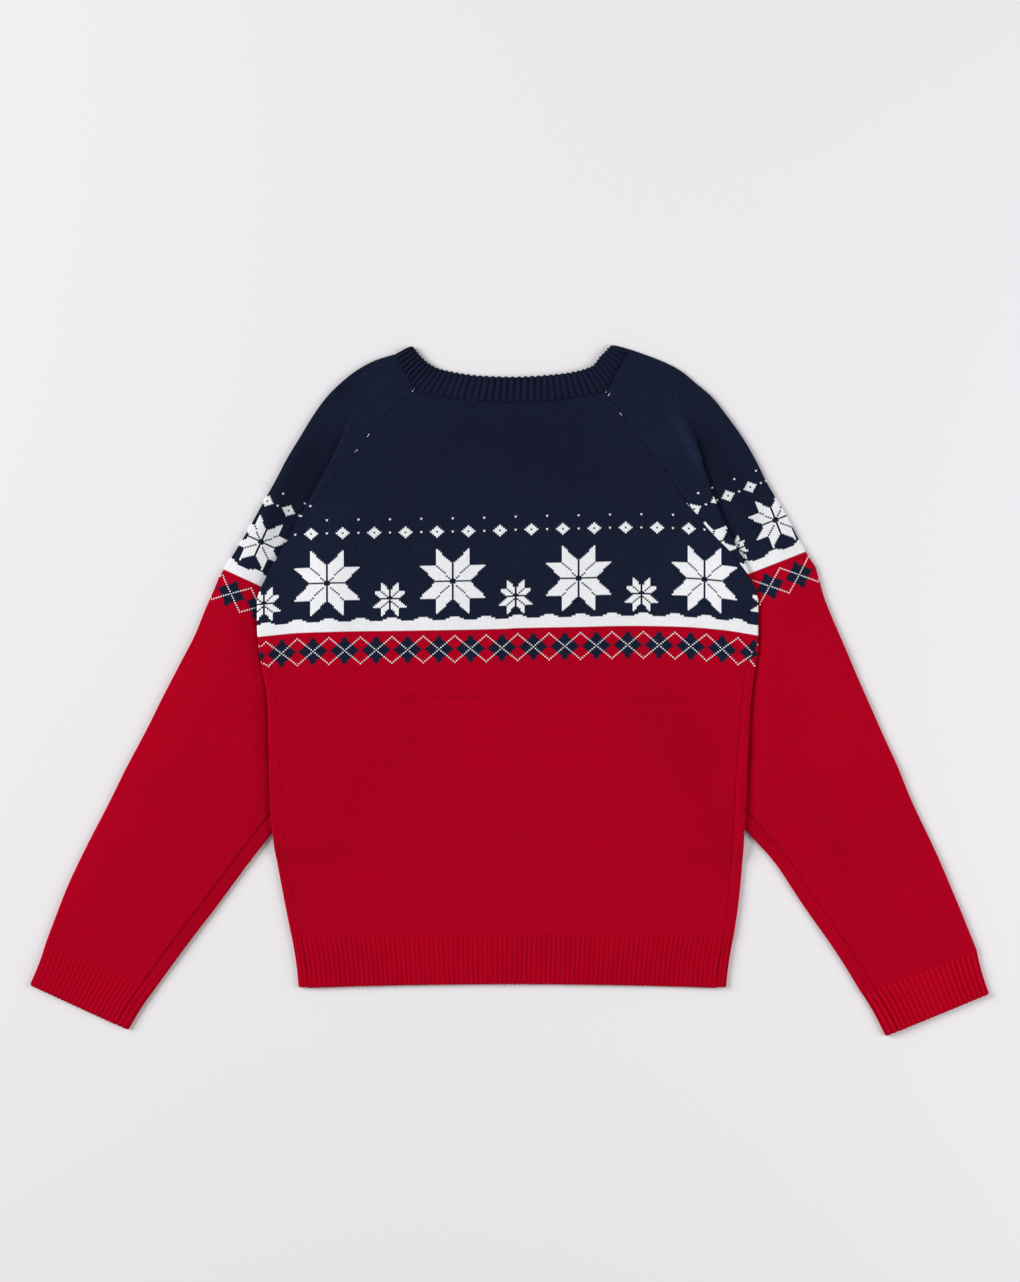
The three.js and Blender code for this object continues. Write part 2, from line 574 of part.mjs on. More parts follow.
function knitMesh(name, geometry, color) {
  const material = new THREE.MeshStandardMaterial({ color, roughness: 0.9, metalness: 0 });
  const mesh = new THREE.Mesh(geometry, material);
  mesh.name = name;
  return mesh;
}

// Columns of a ribbed stretch: an even number of half pitches, so that it ends in furrows
const ribSteps = (length) => 2 * Math.max(1, Math.round(length / RIB_PITCH));

// Lengths along a section where its columns go, and which of them are rib crests
function ribbedColumns(blocks) {
  const parts = [];
  for (const { path, ribs, count } of blocks) {
    const points = columns(path, count);
    points.forEach((point, i) => {
      if (i > 0 || parts.length === 0) parts.push({ ...point, crest: ribs && i % 2 === 1, bare: !ribs });
    });
  }
  return parts;
}

function ribbedStrip(name, sections, color, flip) {
  const [first] = sections;
  const plainColumns = first.parts
    .map((part, j) => ({ part, j }))
    .filter(({ part, j }) => part.bare || j % 8 === 0 || j === first.parts.length - 1)
    .map(({ j }) => j);
  const rows = sections.map(({ parts, put }) => parts.map(put));
  const raise = (i, j) => (first.parts[j].crest ? RIB_RISE : 0);
  return knitMesh(name, wallSolid(rows, { raise, plainColumns, flip }), color);
}

function hemRibBack() {
  const steps = ribSteps(HEM_ROW.right - HEM_ROW.left);
  const section = (row, y, bow) => {
    const from = row.left + BODY_ROWS.at(-1).inset + SEAM_GAP / 2;
    const to = row.right - BODY_ROWS.at(-1).inset - SEAM_GAP / 2;
    const parts = ribbedColumns([{ path: [{ p: 0, z: TOP }, { p: 1, z: TOP }], ribs: true, count: steps }]);
    const put = ({ p, z }) => new THREE.Vector3(from + (to - from) * p, y + bow * 4 * p * (1 - p), z);
    return { parts, put };
  };
  const top = section(BODY_ROWS.at(-1), HEM_SEAM_Y - SEAM_GAP, HEM_BOW);
  const bottom = section(HEM_ROW, HEM_ROW.y, HEM_BOW);
  return ribbedStrip('hem_rib_back', [top, bottom], RED, false);
}

function hemRibFront() {
  const { inset } = BODY_ROWS.at(-1);
  const round = arcFrom({ p: -ROLL, z: TOP }, 0, 180, ROLL);
  const section = (row, y) => {
    const width = row.right - row.left;
    const seamAt = -inset + SEAM_GAP / 2;
    const halfParts = [
      { path: [{ p: seamAt, z: TOP }, { p: -ROLL, z: TOP }], ribs: true, count: 2 },
      { path: round, ribs: false, count: 4 },
      { path: [{ p: -ROLL, z: FLOOR }, { p: -width / 2, z: FLOOR }], ribs: false, count: 4 },
    ];
    const half = ribbedColumns(halfParts);
    const left = half.map((part) => ({ ...part, x: row.left - part.p }));
    const right = half.slice(0, -1).map((part) => ({ ...part, x: row.right + part.p })).reverse();
    const put = ({ x, z }) => {
      const part = (x - row.left) / width;
      return new THREE.Vector3(x, y + HEM_BOW * 4 * part * (1 - part), z);
    };
    return { parts: [...left, ...right], put };
  };
  const top = section(BODY_ROWS.at(-1), HEM_SEAM_Y - SEAM_GAP);
  const bottom = section(HEM_ROW, HEM_ROW.y);
  return ribbedStrip('hem_rib_front', [top, bottom], RED, true);
}

function cuff(side) {
  const stations = side === 'left' ? SLEEVE_LEFT : SLEEVE_RIGHT;
  const above = stations.at(-1);
  const end = CUFF_END[side];
  const topWidth = Math.hypot(above.outX - above.inX, above.outY - above.inY);
  const steps = ribSteps(topWidth - SLEEVE_SEAM_INSET);
  const section = (station, moved) => {
    const inner = new THREE.Vector2(station.inX, station.inY);
    const out = new THREE.Vector2(station.outX, station.outY);
    inner.add(moved);
    out.add(moved);
    const way = out.clone().sub(inner).normalize();
    const width = inner.distanceTo(out);
    const from = SLEEVE_SEAM_INSET + SEAM_GAP / 2;
    const last = SLEEVE_SEAM_INSET - SEAM_GAP / 2;
    const parts = ribbedColumns([
      { path: [{ p: from, z: TOP }, { p: width - ROLL, z: TOP }], ribs: true, count: steps },
      { path: arcFrom({ p: width - ROLL, z: TOP }, 0, 180, ROLL), ribs: false, count: 4 },
      { path: [{ p: width - ROLL, z: FLOOR }, { p: ROLL, z: FLOOR }], ribs: false, count: 3 },
      { path: arcFrom({ p: -ROLL, z: FLOOR }, 0, -180, ROLL).map(mirrored), ribs: false, count: 4 },
      { path: [{ p: ROLL, z: TOP }, { p: last, z: TOP }], ribs: true, count: 4 },
    ]);
    return { parts, put: (point) => place(inner, way, point) };
  };
  const down = new THREE.Vector2(end.inX - above.inX, end.inY - above.inY).setLength(SEAM_GAP);
  const sections = [section(above, down), section(end, new THREE.Vector2())];
  return ribbedStrip(`cuff_${side}`, sections, RED, side === 'left');
}

const mirrored = (point) => ({ ...point, p: -point.p });

// The neckband is one ring: the back arc on top, over the left shoulder tip, then the front arc
function neckband() {
  const lineTo = (from, to) => (t) => new THREE.Vector2(...from).lerp(new THREE.Vector2(...to), t);
  const dip = (from, to, sag) => (t) => {
    const point = new THREE.Vector2(...from).lerp(new THREE.Vector2(...to), t);
    point.y -= sag * 4 * t * (1 - t);
    return point;
  };
  const [leftNeck, rightNeck] = [RAGLAN_LEFT[0], RAGLAN_RIGHT[0]];
  const tips = { left: [leftNeck.outX, leftNeck.outY], right: [rightNeck.outX, rightNeck.outY] };
  const backCorners = { left: [leftNeck.x, leftNeck.y], right: [rightNeck.x, rightNeck.y] };
  const frontCorners = { left: FRONT_RAGLAN.left.neck, right: FRONT_RAGLAN.right.neck };
  const freeCurve = (points) => new THREE.CatmullRomCurve3(
    points.map(([x, y]) => new THREE.Vector3(x, y, 0)),
  );
  const arc = (corners, sag, free, counts, z) => {
    const seams = [
      { at: lineTo(tips.left, corners.left), count: counts.side },
      { at: dip(corners.left, corners.right, sag), count: counts.middle },
      { at: lineTo(corners.right, tips.right), count: counts.side },
    ];
    const curve = freeCurve(free);
    const total = 2 * counts.side + counts.middle;
    const stations = [];
    for (const { at, count } of seams) {
      for (let i = stations.length === 0 ? 0 : 1; i <= count; i += 1) {
        const edge = curve.getPointAt(stations.length / total);
        const freeEdge = new THREE.Vector2(edge.x, edge.y);
        const seam = at(i / count);
        seam.add(freeEdge.clone().sub(seam).setLength(SEAM_GAP));
        stations.push({ seam, freeEdge, z, crest: z > FLOOR && stations.length % 2 === 1 });
      }
    }
    return stations;
  };
  const back = arc(backCorners, BACK_NECK_SAG, BACK_FREE_EDGE, BACK_BAND_STEPS, TOP);
  const front = arc(frontCorners, FRONT_NECK_SAG, FRONT_FREE_EDGE, FRONT_BAND_STEPS, FLOOR);
  front.reverse();
  const rounded = (from, neck) => {
    const way = new THREE.Vector2(neck.outX - neck.x, neck.outY - neck.y).normalize();
    return [45, 90, 135].map((angle) => {
      const shift = way.clone().multiplyScalar(ROLL * Math.sin(radians(angle)));
      return {
        seam: from.seam.clone().add(shift),
        freeEdge: from.freeEdge.clone().add(shift),
        z: FLOOR + ROLL + ROLL * Math.cos(radians(angle)),
        crest: false,
      };
    });
  };
  const drawIn = (stations) => {
    for (const [station, neck] of [[stations[0], leftNeck], [stations.at(-1), rightNeck]]) {
      const way = new THREE.Vector2(neck.outX - neck.x, neck.outY - neck.y).setLength(-ROLL);
      station.seam.add(way);
      station.freeEdge.add(way);
    }
  };
  drawIn(back);
  drawIn([front.at(-1), front[0]]);
  const ring = [
    ...back,
    ...rounded(back.at(-1), rightNeck),
    ...front,
    ...rounded(back[0], leftNeck).reverse(),
  ];
  const rows = [
    ring.map(({ freeEdge, z }) => new THREE.Vector3(freeEdge.x, freeEdge.y, z)),
    ring.map(({ seam, z }) => new THREE.Vector3(seam.x, seam.y, z)),
  ];
  const plainColumns = ring.map((station, j) => j)
    .filter((j) => j >= back.length - 1 || j % 4 === 0);
  const raise = (i, j) => (ring[j].crest ? RIB_RISE : 0);
  return knitMesh('neckband', wallSolid(rows, { raise, plainColumns, ring: true }), NAVY);
}

const sweater = new THREE.Group();
sweater.add(knitMesh('back', wallSolid(backRows()), NAVY));
sweater.add(knitMesh('front', wallSolid(frontRows(), { flip: true }), RED));
sweater.add(knitMesh('sleeve_left', wallSolid(sleeveRows('left'), { flip: true }), RED));
sweater.add(knitMesh('sleeve_right', wallSolid(sleeveRows('right')), RED));
sweater.add(neckband());
sweater.add(hemRibBack());
sweater.add(hemRibFront());
sweater.add(cuff('left'));
sweater.add(cuff('right'));

// The origin is under the middle of the sweater, on the surface that it lies on
sweater.updateMatrixWorld(true);
const box = new THREE.Box3().setFromObject(sweater);
const middle = box.getCenter(new THREE.Vector3());
sweater.position.set(-middle.x, -middle.y, -box.min.z);

export default sweater;
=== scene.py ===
"""A knitted raglan sweater laid flat with its back up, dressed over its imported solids."""
import logging
import math
from dataclasses import dataclass, field
from enum import Enum
from typing import Any, Callable, NamedTuple, Sequence, TypeVar

import bpy
import numpy as np
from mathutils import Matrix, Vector


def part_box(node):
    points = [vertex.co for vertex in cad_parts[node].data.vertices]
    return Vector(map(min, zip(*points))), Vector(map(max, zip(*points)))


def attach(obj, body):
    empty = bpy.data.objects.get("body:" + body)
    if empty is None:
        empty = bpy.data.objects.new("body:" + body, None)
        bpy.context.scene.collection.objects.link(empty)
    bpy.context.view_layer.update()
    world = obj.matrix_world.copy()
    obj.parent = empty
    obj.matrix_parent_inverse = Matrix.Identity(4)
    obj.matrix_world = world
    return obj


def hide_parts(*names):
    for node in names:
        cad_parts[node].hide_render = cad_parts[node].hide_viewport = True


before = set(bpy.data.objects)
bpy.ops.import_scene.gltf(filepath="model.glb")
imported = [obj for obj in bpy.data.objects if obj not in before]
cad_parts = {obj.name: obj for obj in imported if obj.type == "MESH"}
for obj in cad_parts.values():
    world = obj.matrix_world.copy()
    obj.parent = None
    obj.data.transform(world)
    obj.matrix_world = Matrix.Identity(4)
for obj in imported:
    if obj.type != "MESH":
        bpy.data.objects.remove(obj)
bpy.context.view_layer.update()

log = logging.getLogger("sweater")

MM = 0.001  # sizes below are in millimetres, as in the solids' source

# Cloth and folds, as in the solids
WALL = 1.8  # thickness of the knitted cloth
RIB_WALL = 1.5  # the same of the ribs, in their furrows
LAYER = 2.2  # pitch of two layers that lie on each other
SEAM_GAP = 0.4  # space between two pieces along a seam
ROLL = LAYER / 2  # middle radius of a soft fold in one layer
FLOOR = WALL / 2  # middle of the layer that lies on the surface
TOP = FLOOR + LAYER  # middle of the layer above it
STACK = 2 * LAYER + 0.2  # rise of the body where it lies on a sleeve
RIB_PITCH = 4.7  # one knit rib and one purl furrow of the hem and the cuffs
HEM_BOW = 3.5  # how far the hem is higher at its middle
BACK_NECK_SAG = 10.0  # dip of the back neck seam
FRONT_NECK_SAG = 41.6  # dip of the front neck seam
SEAM_INSET = 12.0  # sleeve seam, in from the sleeve's inner fold
BACK_CROWN = 1.4  # softness of the back between its edges
SLEEVE_SWELL = 6.0  # height of the sleeve's soft swell where it comes out from under a fold
FREE_SWELL = 0.45  # share of that swell where the sleeve lies free
FULL_COVER = 20.0  # width under the body from which the swell is whole
SWELL_RISE = 22.0  # width over which the swell rises beside the body's fold
SHOULDER_RISE = 34.0  # the same beside a shoulder fold
CUFF_FADE = 70.0  # length over which the swell goes down to the cuff
SWELL_FALL = 45.0  # width over which it comes down to the sleeve's outer fold
SEAM_RIM = 0.4  # share of the wall at a hidden edge of the cloth
SHOWN_RIM = 0.8  # the same at a seam that shows faintly
SQUARE_RIM = 0.9  # the same where a piece meets a rib
FLAT_RIM = 0.7  # share from which an edge meets the next piece squarely
JOINT = 0.1  # space between a rib and the cloth above it
TUCK = 8.0  # cloth turned under along the shoulder fold
FOLD_LEAD = 4.0  # what a sleeve's fold adds to the width that lies under the body
FOLD_RUN = 14.0  # level stretch of a sleeve next to its shoulder fold
LEAST_RUN = 2.0  # least width between that stretch and the outer zone
SOFT_ROLL = 5.5  # what a fold's radius has more where it begins
SOFT_TURN = 150.0  # turn at which the fold is tight, in degrees
OUTER_ZONE = 10.0  # width of the fine columns at a sleeve's outer fold
INNER_ZONE = 12.0  # width of the fine columns at a sleeve's inner fold
END_REACH = 18.0  # width of the fine columns at each end of a row of the back
BEND_WEIGHT = 14.0  # how much closer columns are where a section bends
ARC_STEP = 9.0  # degrees between the points of a fold
SHOULDER_REACH = 90.0  # how far in a section across the shoulder fold goes
SIDE_REACH = 120.0  # the same across a side fold
LEVEL_STEP = 3.0  # between the points of its level part on top
BELOW_STEP = 2.0  # and below
SEAM_RIDGE = 0.3  # height of the soft ridge beside a seam
SEAM_GROOVE = 0.25  # depth of the groove at the seam
RIDGE_PLACE = 2.4  # how far the ridge is from the seam
RIDGE_WIDTH = 1.5
GROOVE_WIDTH = 0.9
CREST_TURN = 30.0  # turn from which the shoulder fold has a ridge, in degrees
CREST_PLACE = 4.0  # how far in from the fold it is
CREST_WIDTH = 3.0
LEAF_START = 0.5  # height over the lower leaf from which small relief begins
LEAF_RISE = 1.5  # and over which it comes in


class Rest(NamedTuple):
    """How far a layer keeps its height past what lies under it, and how fast it comes down."""

    margin: float
    ramp: float


BACK_REST = Rest(17.0, 90.0)
FRONT_REST = Rest(6.0, 15.0)


class Side(Enum):
    """The two sides of the sweater as it is seen, with the sign of X there."""

    LEFT = -1
    RIGHT = 1

    @property
    def word(self) -> str:
        """The side's name, as the nodes have it."""
        return self.name.lower()


RowT = TypeVar("RowT", bound=tuple)


def table(kind: type[RowT], *rows: tuple[float, ...]) -> tuple[RowT, ...]:
    """Rows of numbers, each made into a named row of one kind."""
    return tuple(kind(*row) for row in rows)


class Raglan(NamedTuple):
    """One station of a raglan seam.

    It has the places of the seam and of the sleeve's outer fold, and the cloth's fold over the
    sleeve: how far out it is, its turn in degrees, and what is tucked under it.
    """

    x: float
    y: float
    out_x: float
    out_y: float
    edge: float
    turn: float
    tuck: float

    @property
    def seam(self) -> np.ndarray:
        """Place of the seam in plan."""
        return np.array(self[:2], float)

    @property
    def outer(self) -> np.ndarray:
        """Place of the sleeve's outer fold in plan."""
        return np.array(self[2:4], float)


class Tube(NamedTuple):
    """One station of a sleeve below the underarm: its two folds, and the width under the body."""

    in_x: float
    in_y: float
    out_x: float
    out_y: float
    cover: float

    @property
    def inner(self) -> np.ndarray:
        """Place of the inner fold in plan."""
        return np.array(self[:2], float)

    @property
    def outer(self) -> np.ndarray:
        """Place of the outer fold in plan."""
        return np.array(self[2:4], float)


class BodyRow(NamedTuple):
    """One row of the body below the underarm.

    It has the two side folds, the inset of the seam, the width of sleeve under each side, the
    rise over it, and where the front panel starts.
    """

    y: float
    left: float
    right: float
    inset: float
    under_left: float
    under_right: float
    rise: float
    start: float


RAGLANS = {
    Side.LEFT: table(
        Raglan,
        (-91, 285, -110, 320, 16, 0, 0), (-103, 276, -129, 314, 19, 0, 0),
        (-116, 266, -147, 304, 22, 0, 0), (-126, 253, -163, 291, 24, 12, 1),
        (-135, 241, -174, 280, 24, 38, 1), (-146, 227, -186, 264, 19, 88, 1),
        (-159, 210, -200, 241, 14, 135, 1), (-174, 193, -212, 221, 9, 160, 2),
        (-188, 175, -222, 202, 5, 172, 5), (-203, 156, -235, 179, 1.2, 177, TUCK),
        (-211, 144, -242, 166, -0.2, 178, TUCK), (-219, 132, -249, 153, -1.2, 178, TUCK),
        (-233, 108, -263, 130, -1.2, 178, TUCK), (-238, 98, -270, 119, -1.2, 178, TUCK),
        (-241, 88, -277, 108, -1.2, 178, TUCK),
    ),
    Side.RIGHT: table(
        Raglan,
        (90, 285, 112, 325, 30, 0, 0), (97, 276, 126, 320, 36, 0, 0),
        (105, 266, 142, 314, 42, 0, 0), (113, 253, 160, 305, 46, 0, 0),
        (122, 241, 176, 292, 48, 8, 1), (133, 227, 191, 279, 47, 35, 1),
        (146, 210, 206, 260, 39, 85, 1), (157, 193, 219, 242, 32, 130, 1),
        (170, 175, 231, 222, 25, 158, 2), (185, 156, 244, 196, 17, 172, 5),
        (196, 144, 254, 179, 12, 175, TUCK), (208, 132, 264, 162, 7, 177, TUCK),
        (226, 108, 277, 137, 1.2, 178, TUCK), (231.5, 98, 283, 127, -0.2, 178, TUCK),
        (235, 88, 289, 118, -1.2, 178, TUCK),
    ),
}
TUBES = {
    Side.LEFT: table(
        Tube,
        (-226, 74, -281, 97.5, 15), (-207, 55, -285.5, 87.5, 36),
        (-185, 29, -291.5, 73.5, 57), (-170, -5, -299.5, 53.5, 68),
        (-168, -38, -313.5, 26.5, 68), (-182, -68, -328.5, -2.5, 52),
        (-203.5, -102, -344.5, -34.5, 28), (-228, -134, -362.5, -68.5, 6),
        (-251, -164, -380.5, -104.5, 0), (-279, -202, -400, -142.5, 0),
        (-309, -241, -420, -184, 0), (-338.5, -281.5, -441.5, -239.5, 0),
    ),
    Side.RIGHT: table(
        Tube,
        (221, 75, 293, 104.5, 15), (203, 55, 296.5, 91.5, 34),
        (183, 29, 302.5, 75.5, 55), (169, -6, 311.5, 54.5, 66),
        (167, -40, 322.5, 28.5, 66), (179, -69, 335.5, -1.5, 52),
        (200.5, -101.5, 351.5, -37.5, 28), (228.5, -136, 366.5, -70.5, 6),
        (251.5, -162, 380, -103.5, 0), (279.5, -204, 398.5, -142.5, 0),
        (308.5, -245, 418.5, -188, 0), (335, -287.5, 442.5, -247, 0),
    ),
}
CUFF_ENDS = {
    Side.LEFT: Tube(-364, -321, -456.5, -278.5, 0),
    Side.RIGHT: Tube(357, -327, 454, -287, 0),
}
FRONT_NECK = {Side.LEFT: (-89.0, 265.0), Side.RIGHT: (88.0, 265.0)}
FRONT_UNDERARM = {Side.LEFT: (-199.0, 88.0), Side.RIGHT: (194.0, 88.0)}
BODY_ROWS = table(
    BodyRow,
    (76, -240, 234, -1.2, 26, 26, STACK, 29), (65, -240, 234, -1, 24, 22, STACK, 2),
    (46, -239, 234, 1, 41, 38, STACK, -1.5), (21, -235, 231, 8, 54, 54, STACK, -8.5),
    (-9, -230, 227, 8.5, 61, 59, STACK, -9.0), (-43, -229, 225, 9, 61, 58, STACK, -9.5),
    (-76, -228.5, 223.5, 10, 42, 42, STACK, -10.5), (-109, -227.5, 222, 10.5, 21, 21, STACK, -11.0),
    (-143, -224.5, 220.5, 10.5, 5, 0, STACK, -11.0), (-166, -220.5, 219, 10.5, 0, 0, 0, -11.0),
    (-198, -214.5, 216, 10, 0, 0, 0, -10.5), (-233, -207.5, 211, 8.5, 0, 0, 0, -9.0),
)
HEM_ROW = BodyRow(-281, -201, 204, 8.5, 0, 0, 0, -9)
NECK_Y = RAGLANS[Side.LEFT][0].y
UNDERARM_Y = RAGLANS[Side.LEFT][-1].y
HEM_SEAM_Y = BODY_ROWS[-1].y

# Free edge of the neckband, left to right, on the back and on the hidden front
BACK_FREE_EDGE = [
    (-95, 328), (-80, 312), (-66, 305), (-28, 299), (2, 298), (48, 301), (77, 308), (87, 319), (97, 329),
]
FRONT_FREE_EDGE = [
    (-95, 328), (-84, 300), (-72, 279), (-51, 260), (-24, 249.5), (0, 247), (24, 249.5), (51, 260),
    (72, 279), (84, 300), (97, 329),
]

# Knitting
STITCH_W = 1.867  # width of one stitch
STITCH_H = 1.57  # height of one row
BAND_LINE = [  # lower edge of the white band on the back
    (-240, 51.6), (-199, 55.4), (-160, 56.6), (-113, 57.3), (-57, 58.2), (-9, 59.2), (10, 60.1), (60, 61.0),
    (115, 62.1), (162, 61.2), (200, 58.3), (234, 53.0),
]

# Curves and sections


def ease(value: Any) -> Any:
    """Smooth step from 0 to 1, level at both ends."""
    part = np.clip(value, 0.0, 1.0)
    return part**3 * (part * (part * 6 - 15) + 10)


def monotone(at: np.ndarray, values: np.ndarray, wanted: np.ndarray) -> np.ndarray:
    """Smooth curve through values that never overshoots them.

    Args:
        at: increasing places of the values.
        values: one row of numbers for each place.
        wanted: places to read the curve at.

    Returns:
        One row of numbers for each wanted place.
    """
    step = np.diff(at)[:, None]
    slope = np.diff(values, axis=0) / step
    before, after = slope[:-1], slope[1:]
    same_way = before * after > 0
    with np.errstate(divide="ignore", invalid="ignore"):
        inner = np.where(same_way, 2 * before * after / (before + after), 0.0)
    tangent = np.vstack([slope[:1], inner, slope[-1:]])
    k = np.clip(np.searchsorted(at, wanted, side="right") - 1, 0, len(at) - 2)
    t = ((wanted - at[k]) / (at[k + 1] - at[k]))[:, None]
    h = step[k]
    return (
        values[k] * (2 * t**3 - 3 * t**2 + 1)
        + values[k + 1] * (3 * t**2 - 2 * t**3)
        + tangent[k] * h * (t**3 - 2 * t**2 + t)
        + tangent[k + 1] * h * (t**3 - t**2)
    )


def refine(stations: Sequence[RowT], each: int) -> tuple[RowT, ...]:
    """More stations along the same smooth lines, each of them between two given ones."""
    given = np.array(stations, float)
    places = np.arange(len(given), dtype=float)
    wanted = np.linspace(0, len(given) - 1, (len(given) - 1) * each + 1)
    return table(type(stations[0]), *monotone(places, given, wanted))


def running(steps: np.ndarray) -> np.ndarray:
    """Running sum of steps along their last axis, from 0."""
    return np.concatenate([np.zeros((*steps.shape[:-1], 1)), np.cumsum(steps, axis=-1)], axis=-1)


def lengths(path: np.ndarray, weight: float = 0.0) -> np.ndarray:
    """Running length of a path of (p, z, bent) points, its bent stretches weighted."""
    step = np.hypot(np.diff(path[:, 0]), np.diff(path[:, 1]))
    bent = path[1:, 2] * path[:-1, 2]
    return running(step * (1 + bent * weight))


def sample(path: np.ndarray, sums: np.ndarray, at: Any) -> np.ndarray:
    """Points of a path at the given running lengths."""
    return np.stack([np.interp(at, sums, path[:, k]) for k in range(3)], axis=-1)


def stretch(path: np.ndarray, start: float, end: float) -> np.ndarray:
    """The part of a path between two lengths, with its own points kept."""
    sums = lengths(path)
    inner = path[(sums > start) & (sums < end)]
    return np.vstack([sample(path, sums, [start]), inner, sample(path, sums, [end])])


def columns(path: np.ndarray, count: int) -> np.ndarray:
    """Even columns along a path, closer together where it bends."""
    sums = lengths(path, BEND_WEIGHT)
    return sample(path, sums, np.linspace(0, sums[-1], count + 1))


def straight(*points: tuple[float, float]) -> np.ndarray:
    """Path of straight stretches through (p, z) points."""
    return np.array([(p, z, 0.0) for p, z in points])


def arc(p: float, z: float, from_turn: float, to_turn: float, radius: float = ROLL) -> np.ndarray:
    """Bent path from one heading to another, both measured down from outwards in degrees."""
    count = max(2, math.ceil(abs(to_turn - from_turn) / ARC_STEP))
    way = -1.0 if to_turn < from_turn else 1.0
    angle = np.radians(np.linspace(from_turn, to_turn, count + 1))
    along = p + way * radius * (np.sin(angle) - np.sin(angle[0]))
    height = z - way * radius * (np.cos(angle[0]) - np.cos(angle))
    return np.stack([along, height, np.ones_like(angle)], axis=1)


def lift(depth: Any, under: float, rise: float, rest: Rest) -> Any:
    """Height that a layer keeps over what lies under it, at a depth in from its edge."""
    return rise * ease((under + rest.margin + rest.ramp - depth) / rest.ramp)


def crown(part: Any, height: float) -> Any:
    """Height of a soft crown over a leaf, nothing at its two edges."""
    return height * np.sin(np.pi * np.clip(part, 0, 1)) ** 0.8


def swell(from_fold: Any, from_edge: Any, height: float, width: float = SWELL_RISE) -> Any:
    """Height of a sleeve's soft swell at two distances, from the fold beside it and from its outer fold."""
    rise = np.sin(np.pi / 2 * np.clip(from_fold / width, 0, 1))
    fall = np.sin(np.pi / 2 * np.clip(from_edge / SWELL_FALL, 0, 1)) ** 0.8
    return height * rise * fall


class Fold(NamedTuple):
    """A section across a fold, and the lengths at which it is outermost and level again below."""

    path: np.ndarray
    fold_at: float
    below_at: float


def fold_radius(station: Raglan) -> float:
    """Middle radius of the shoulder fold, wide and soft where the cloth has turned little."""
    return ROLL + SOFT_ROLL * max(0.0, 1 - station.turn / SOFT_TURN) ** 2


def shoulder_fold(station: Raglan, run: float = FOLD_RUN) -> Fold:
    """Section across the shoulder fold: level, over it, back under it, and out again as the sleeve.

    Args:
        station: the raglan station.
        run: width of the level stretch of the sleeve next to the fold.

    Returns:
        The section, 0 at the fold's outermost point.
    """
    turn = math.radians(station.turn)
    rise = shoulder_rise(station)
    radius = fold_radius(station)
    reach = radius * math.sin(min(turn, math.pi / 2))
    depth = np.arange(SHOULDER_REACH, reach, -LEVEL_STEP)
    level = np.stack(
        [-depth, TOP + lift(depth, TUCK + FOLD_LEAD, rise, BACK_REST), np.zeros_like(depth)], axis=1
    )
    over = arc(-reach, TOP + rise, 0.0, station.turn, radius)
    under_p = over[-1, 0] + station.tuck * math.cos(turn)
    under_z = over[-1, 1] - station.tuck * math.sin(turn)
    back = arc(under_p, under_z, station.turn, 0.0, radius)
    run = max(run, back[-1, 0] + 0.5)
    path = np.vstack([level, over, back, straight((run, TOP))])
    sums = lengths(path)
    return Fold(path, sums[len(level)] + radius * min(turn, math.pi / 2), sums[-1])


def shoulder_rise(station: Raglan) -> float:
    """Height of the cloth over the sleeve's top leaf at the shoulder fold."""
    turn = math.radians(station.turn)
    return 2 * fold_radius(station) * (1 - math.cos(turn)) + station.tuck * math.sin(turn)


def side_fold(row: BodyRow, under: float) -> Fold:
    """Section across the body's side fold: level on the back, round the side, level under it."""
    above = np.arange(SIDE_REACH, ROLL, -LEVEL_STEP)
    level = np.stack([-above, TOP + lift(above, under, row.rise, BACK_REST), np.zeros_like(above)], axis=1)
    bend = arc(-ROLL, TOP + row.rise, 0.0, 180.0)
    beneath = np.arange(ROLL + BELOW_STEP, SIDE_REACH, BELOW_STEP)
    below = np.stack(
        [-beneath, FLOOR + lift(beneath, under, row.rise, FRONT_REST), np.zeros_like(beneath)], axis=1
    )
    path = np.vstack([level, bend, below])
    sums = lengths(path)
    return Fold(path, sums[len(level)] + ROLL * math.pi / 2, sums[len(level) + len(bend) - 1])


def place(origin: np.ndarray, way: np.ndarray, points: np.ndarray) -> np.ndarray:
    """Points of a section put in plan along a way from an origin."""
    plan = origin[None, :] + way[None, :] * points[:, :1]
    return np.hstack([plan, points[:, 1:2]])


def unit(vector: np.ndarray) -> np.ndarray:
    """The vector at length 1."""
    return vector / np.linalg.norm(vector)


def bowed(row: np.ndarray, bow: float) -> np.ndarray:
    """A row with its middle moved along Y and nothing at its two ends."""
    part = (row[:, 0] - row[0, 0]) / (row[-1, 0] - row[0, 0])
    moved = row.copy()
    moved[:, 1] += bow * 4 * part * (1 - part)
    return moved


def bow_of(y: float, neck_sag: float) -> float:
    """How far the middle of a row of the body is off its ends."""
    if y > UNDERARM_Y:
        return -neck_sag * ((y - UNDERARM_Y) / (NECK_Y - UNDERARM_Y)) ** 2
    return HEM_BOW * ((UNDERARM_Y - y) / (UNDERARM_Y - HEM_SEAM_Y)) ** 2


def smooth_edge(points: Sequence[tuple[float, float]], count: int, crowding: float = 0.0) -> np.ndarray:
    """Points along a smooth line through a few given ones, closer together at its ends by a share."""
    given = np.array(points, float)
    at = running(np.hypot(*np.diff(given, axis=0).T))
    dense = monotone(at, given, np.linspace(0, at[-1], 600))
    run = running(np.hypot(*np.diff(dense, axis=0).T))
    part = np.linspace(0, 1, count + 1)
    wanted = run[-1] * (part - crowding * np.sin(2 * np.pi * part) / (2 * np.pi))
    return np.stack([np.interp(wanted, run, dense[:, k]) for k in range(2)], axis=1)


# Soft relief


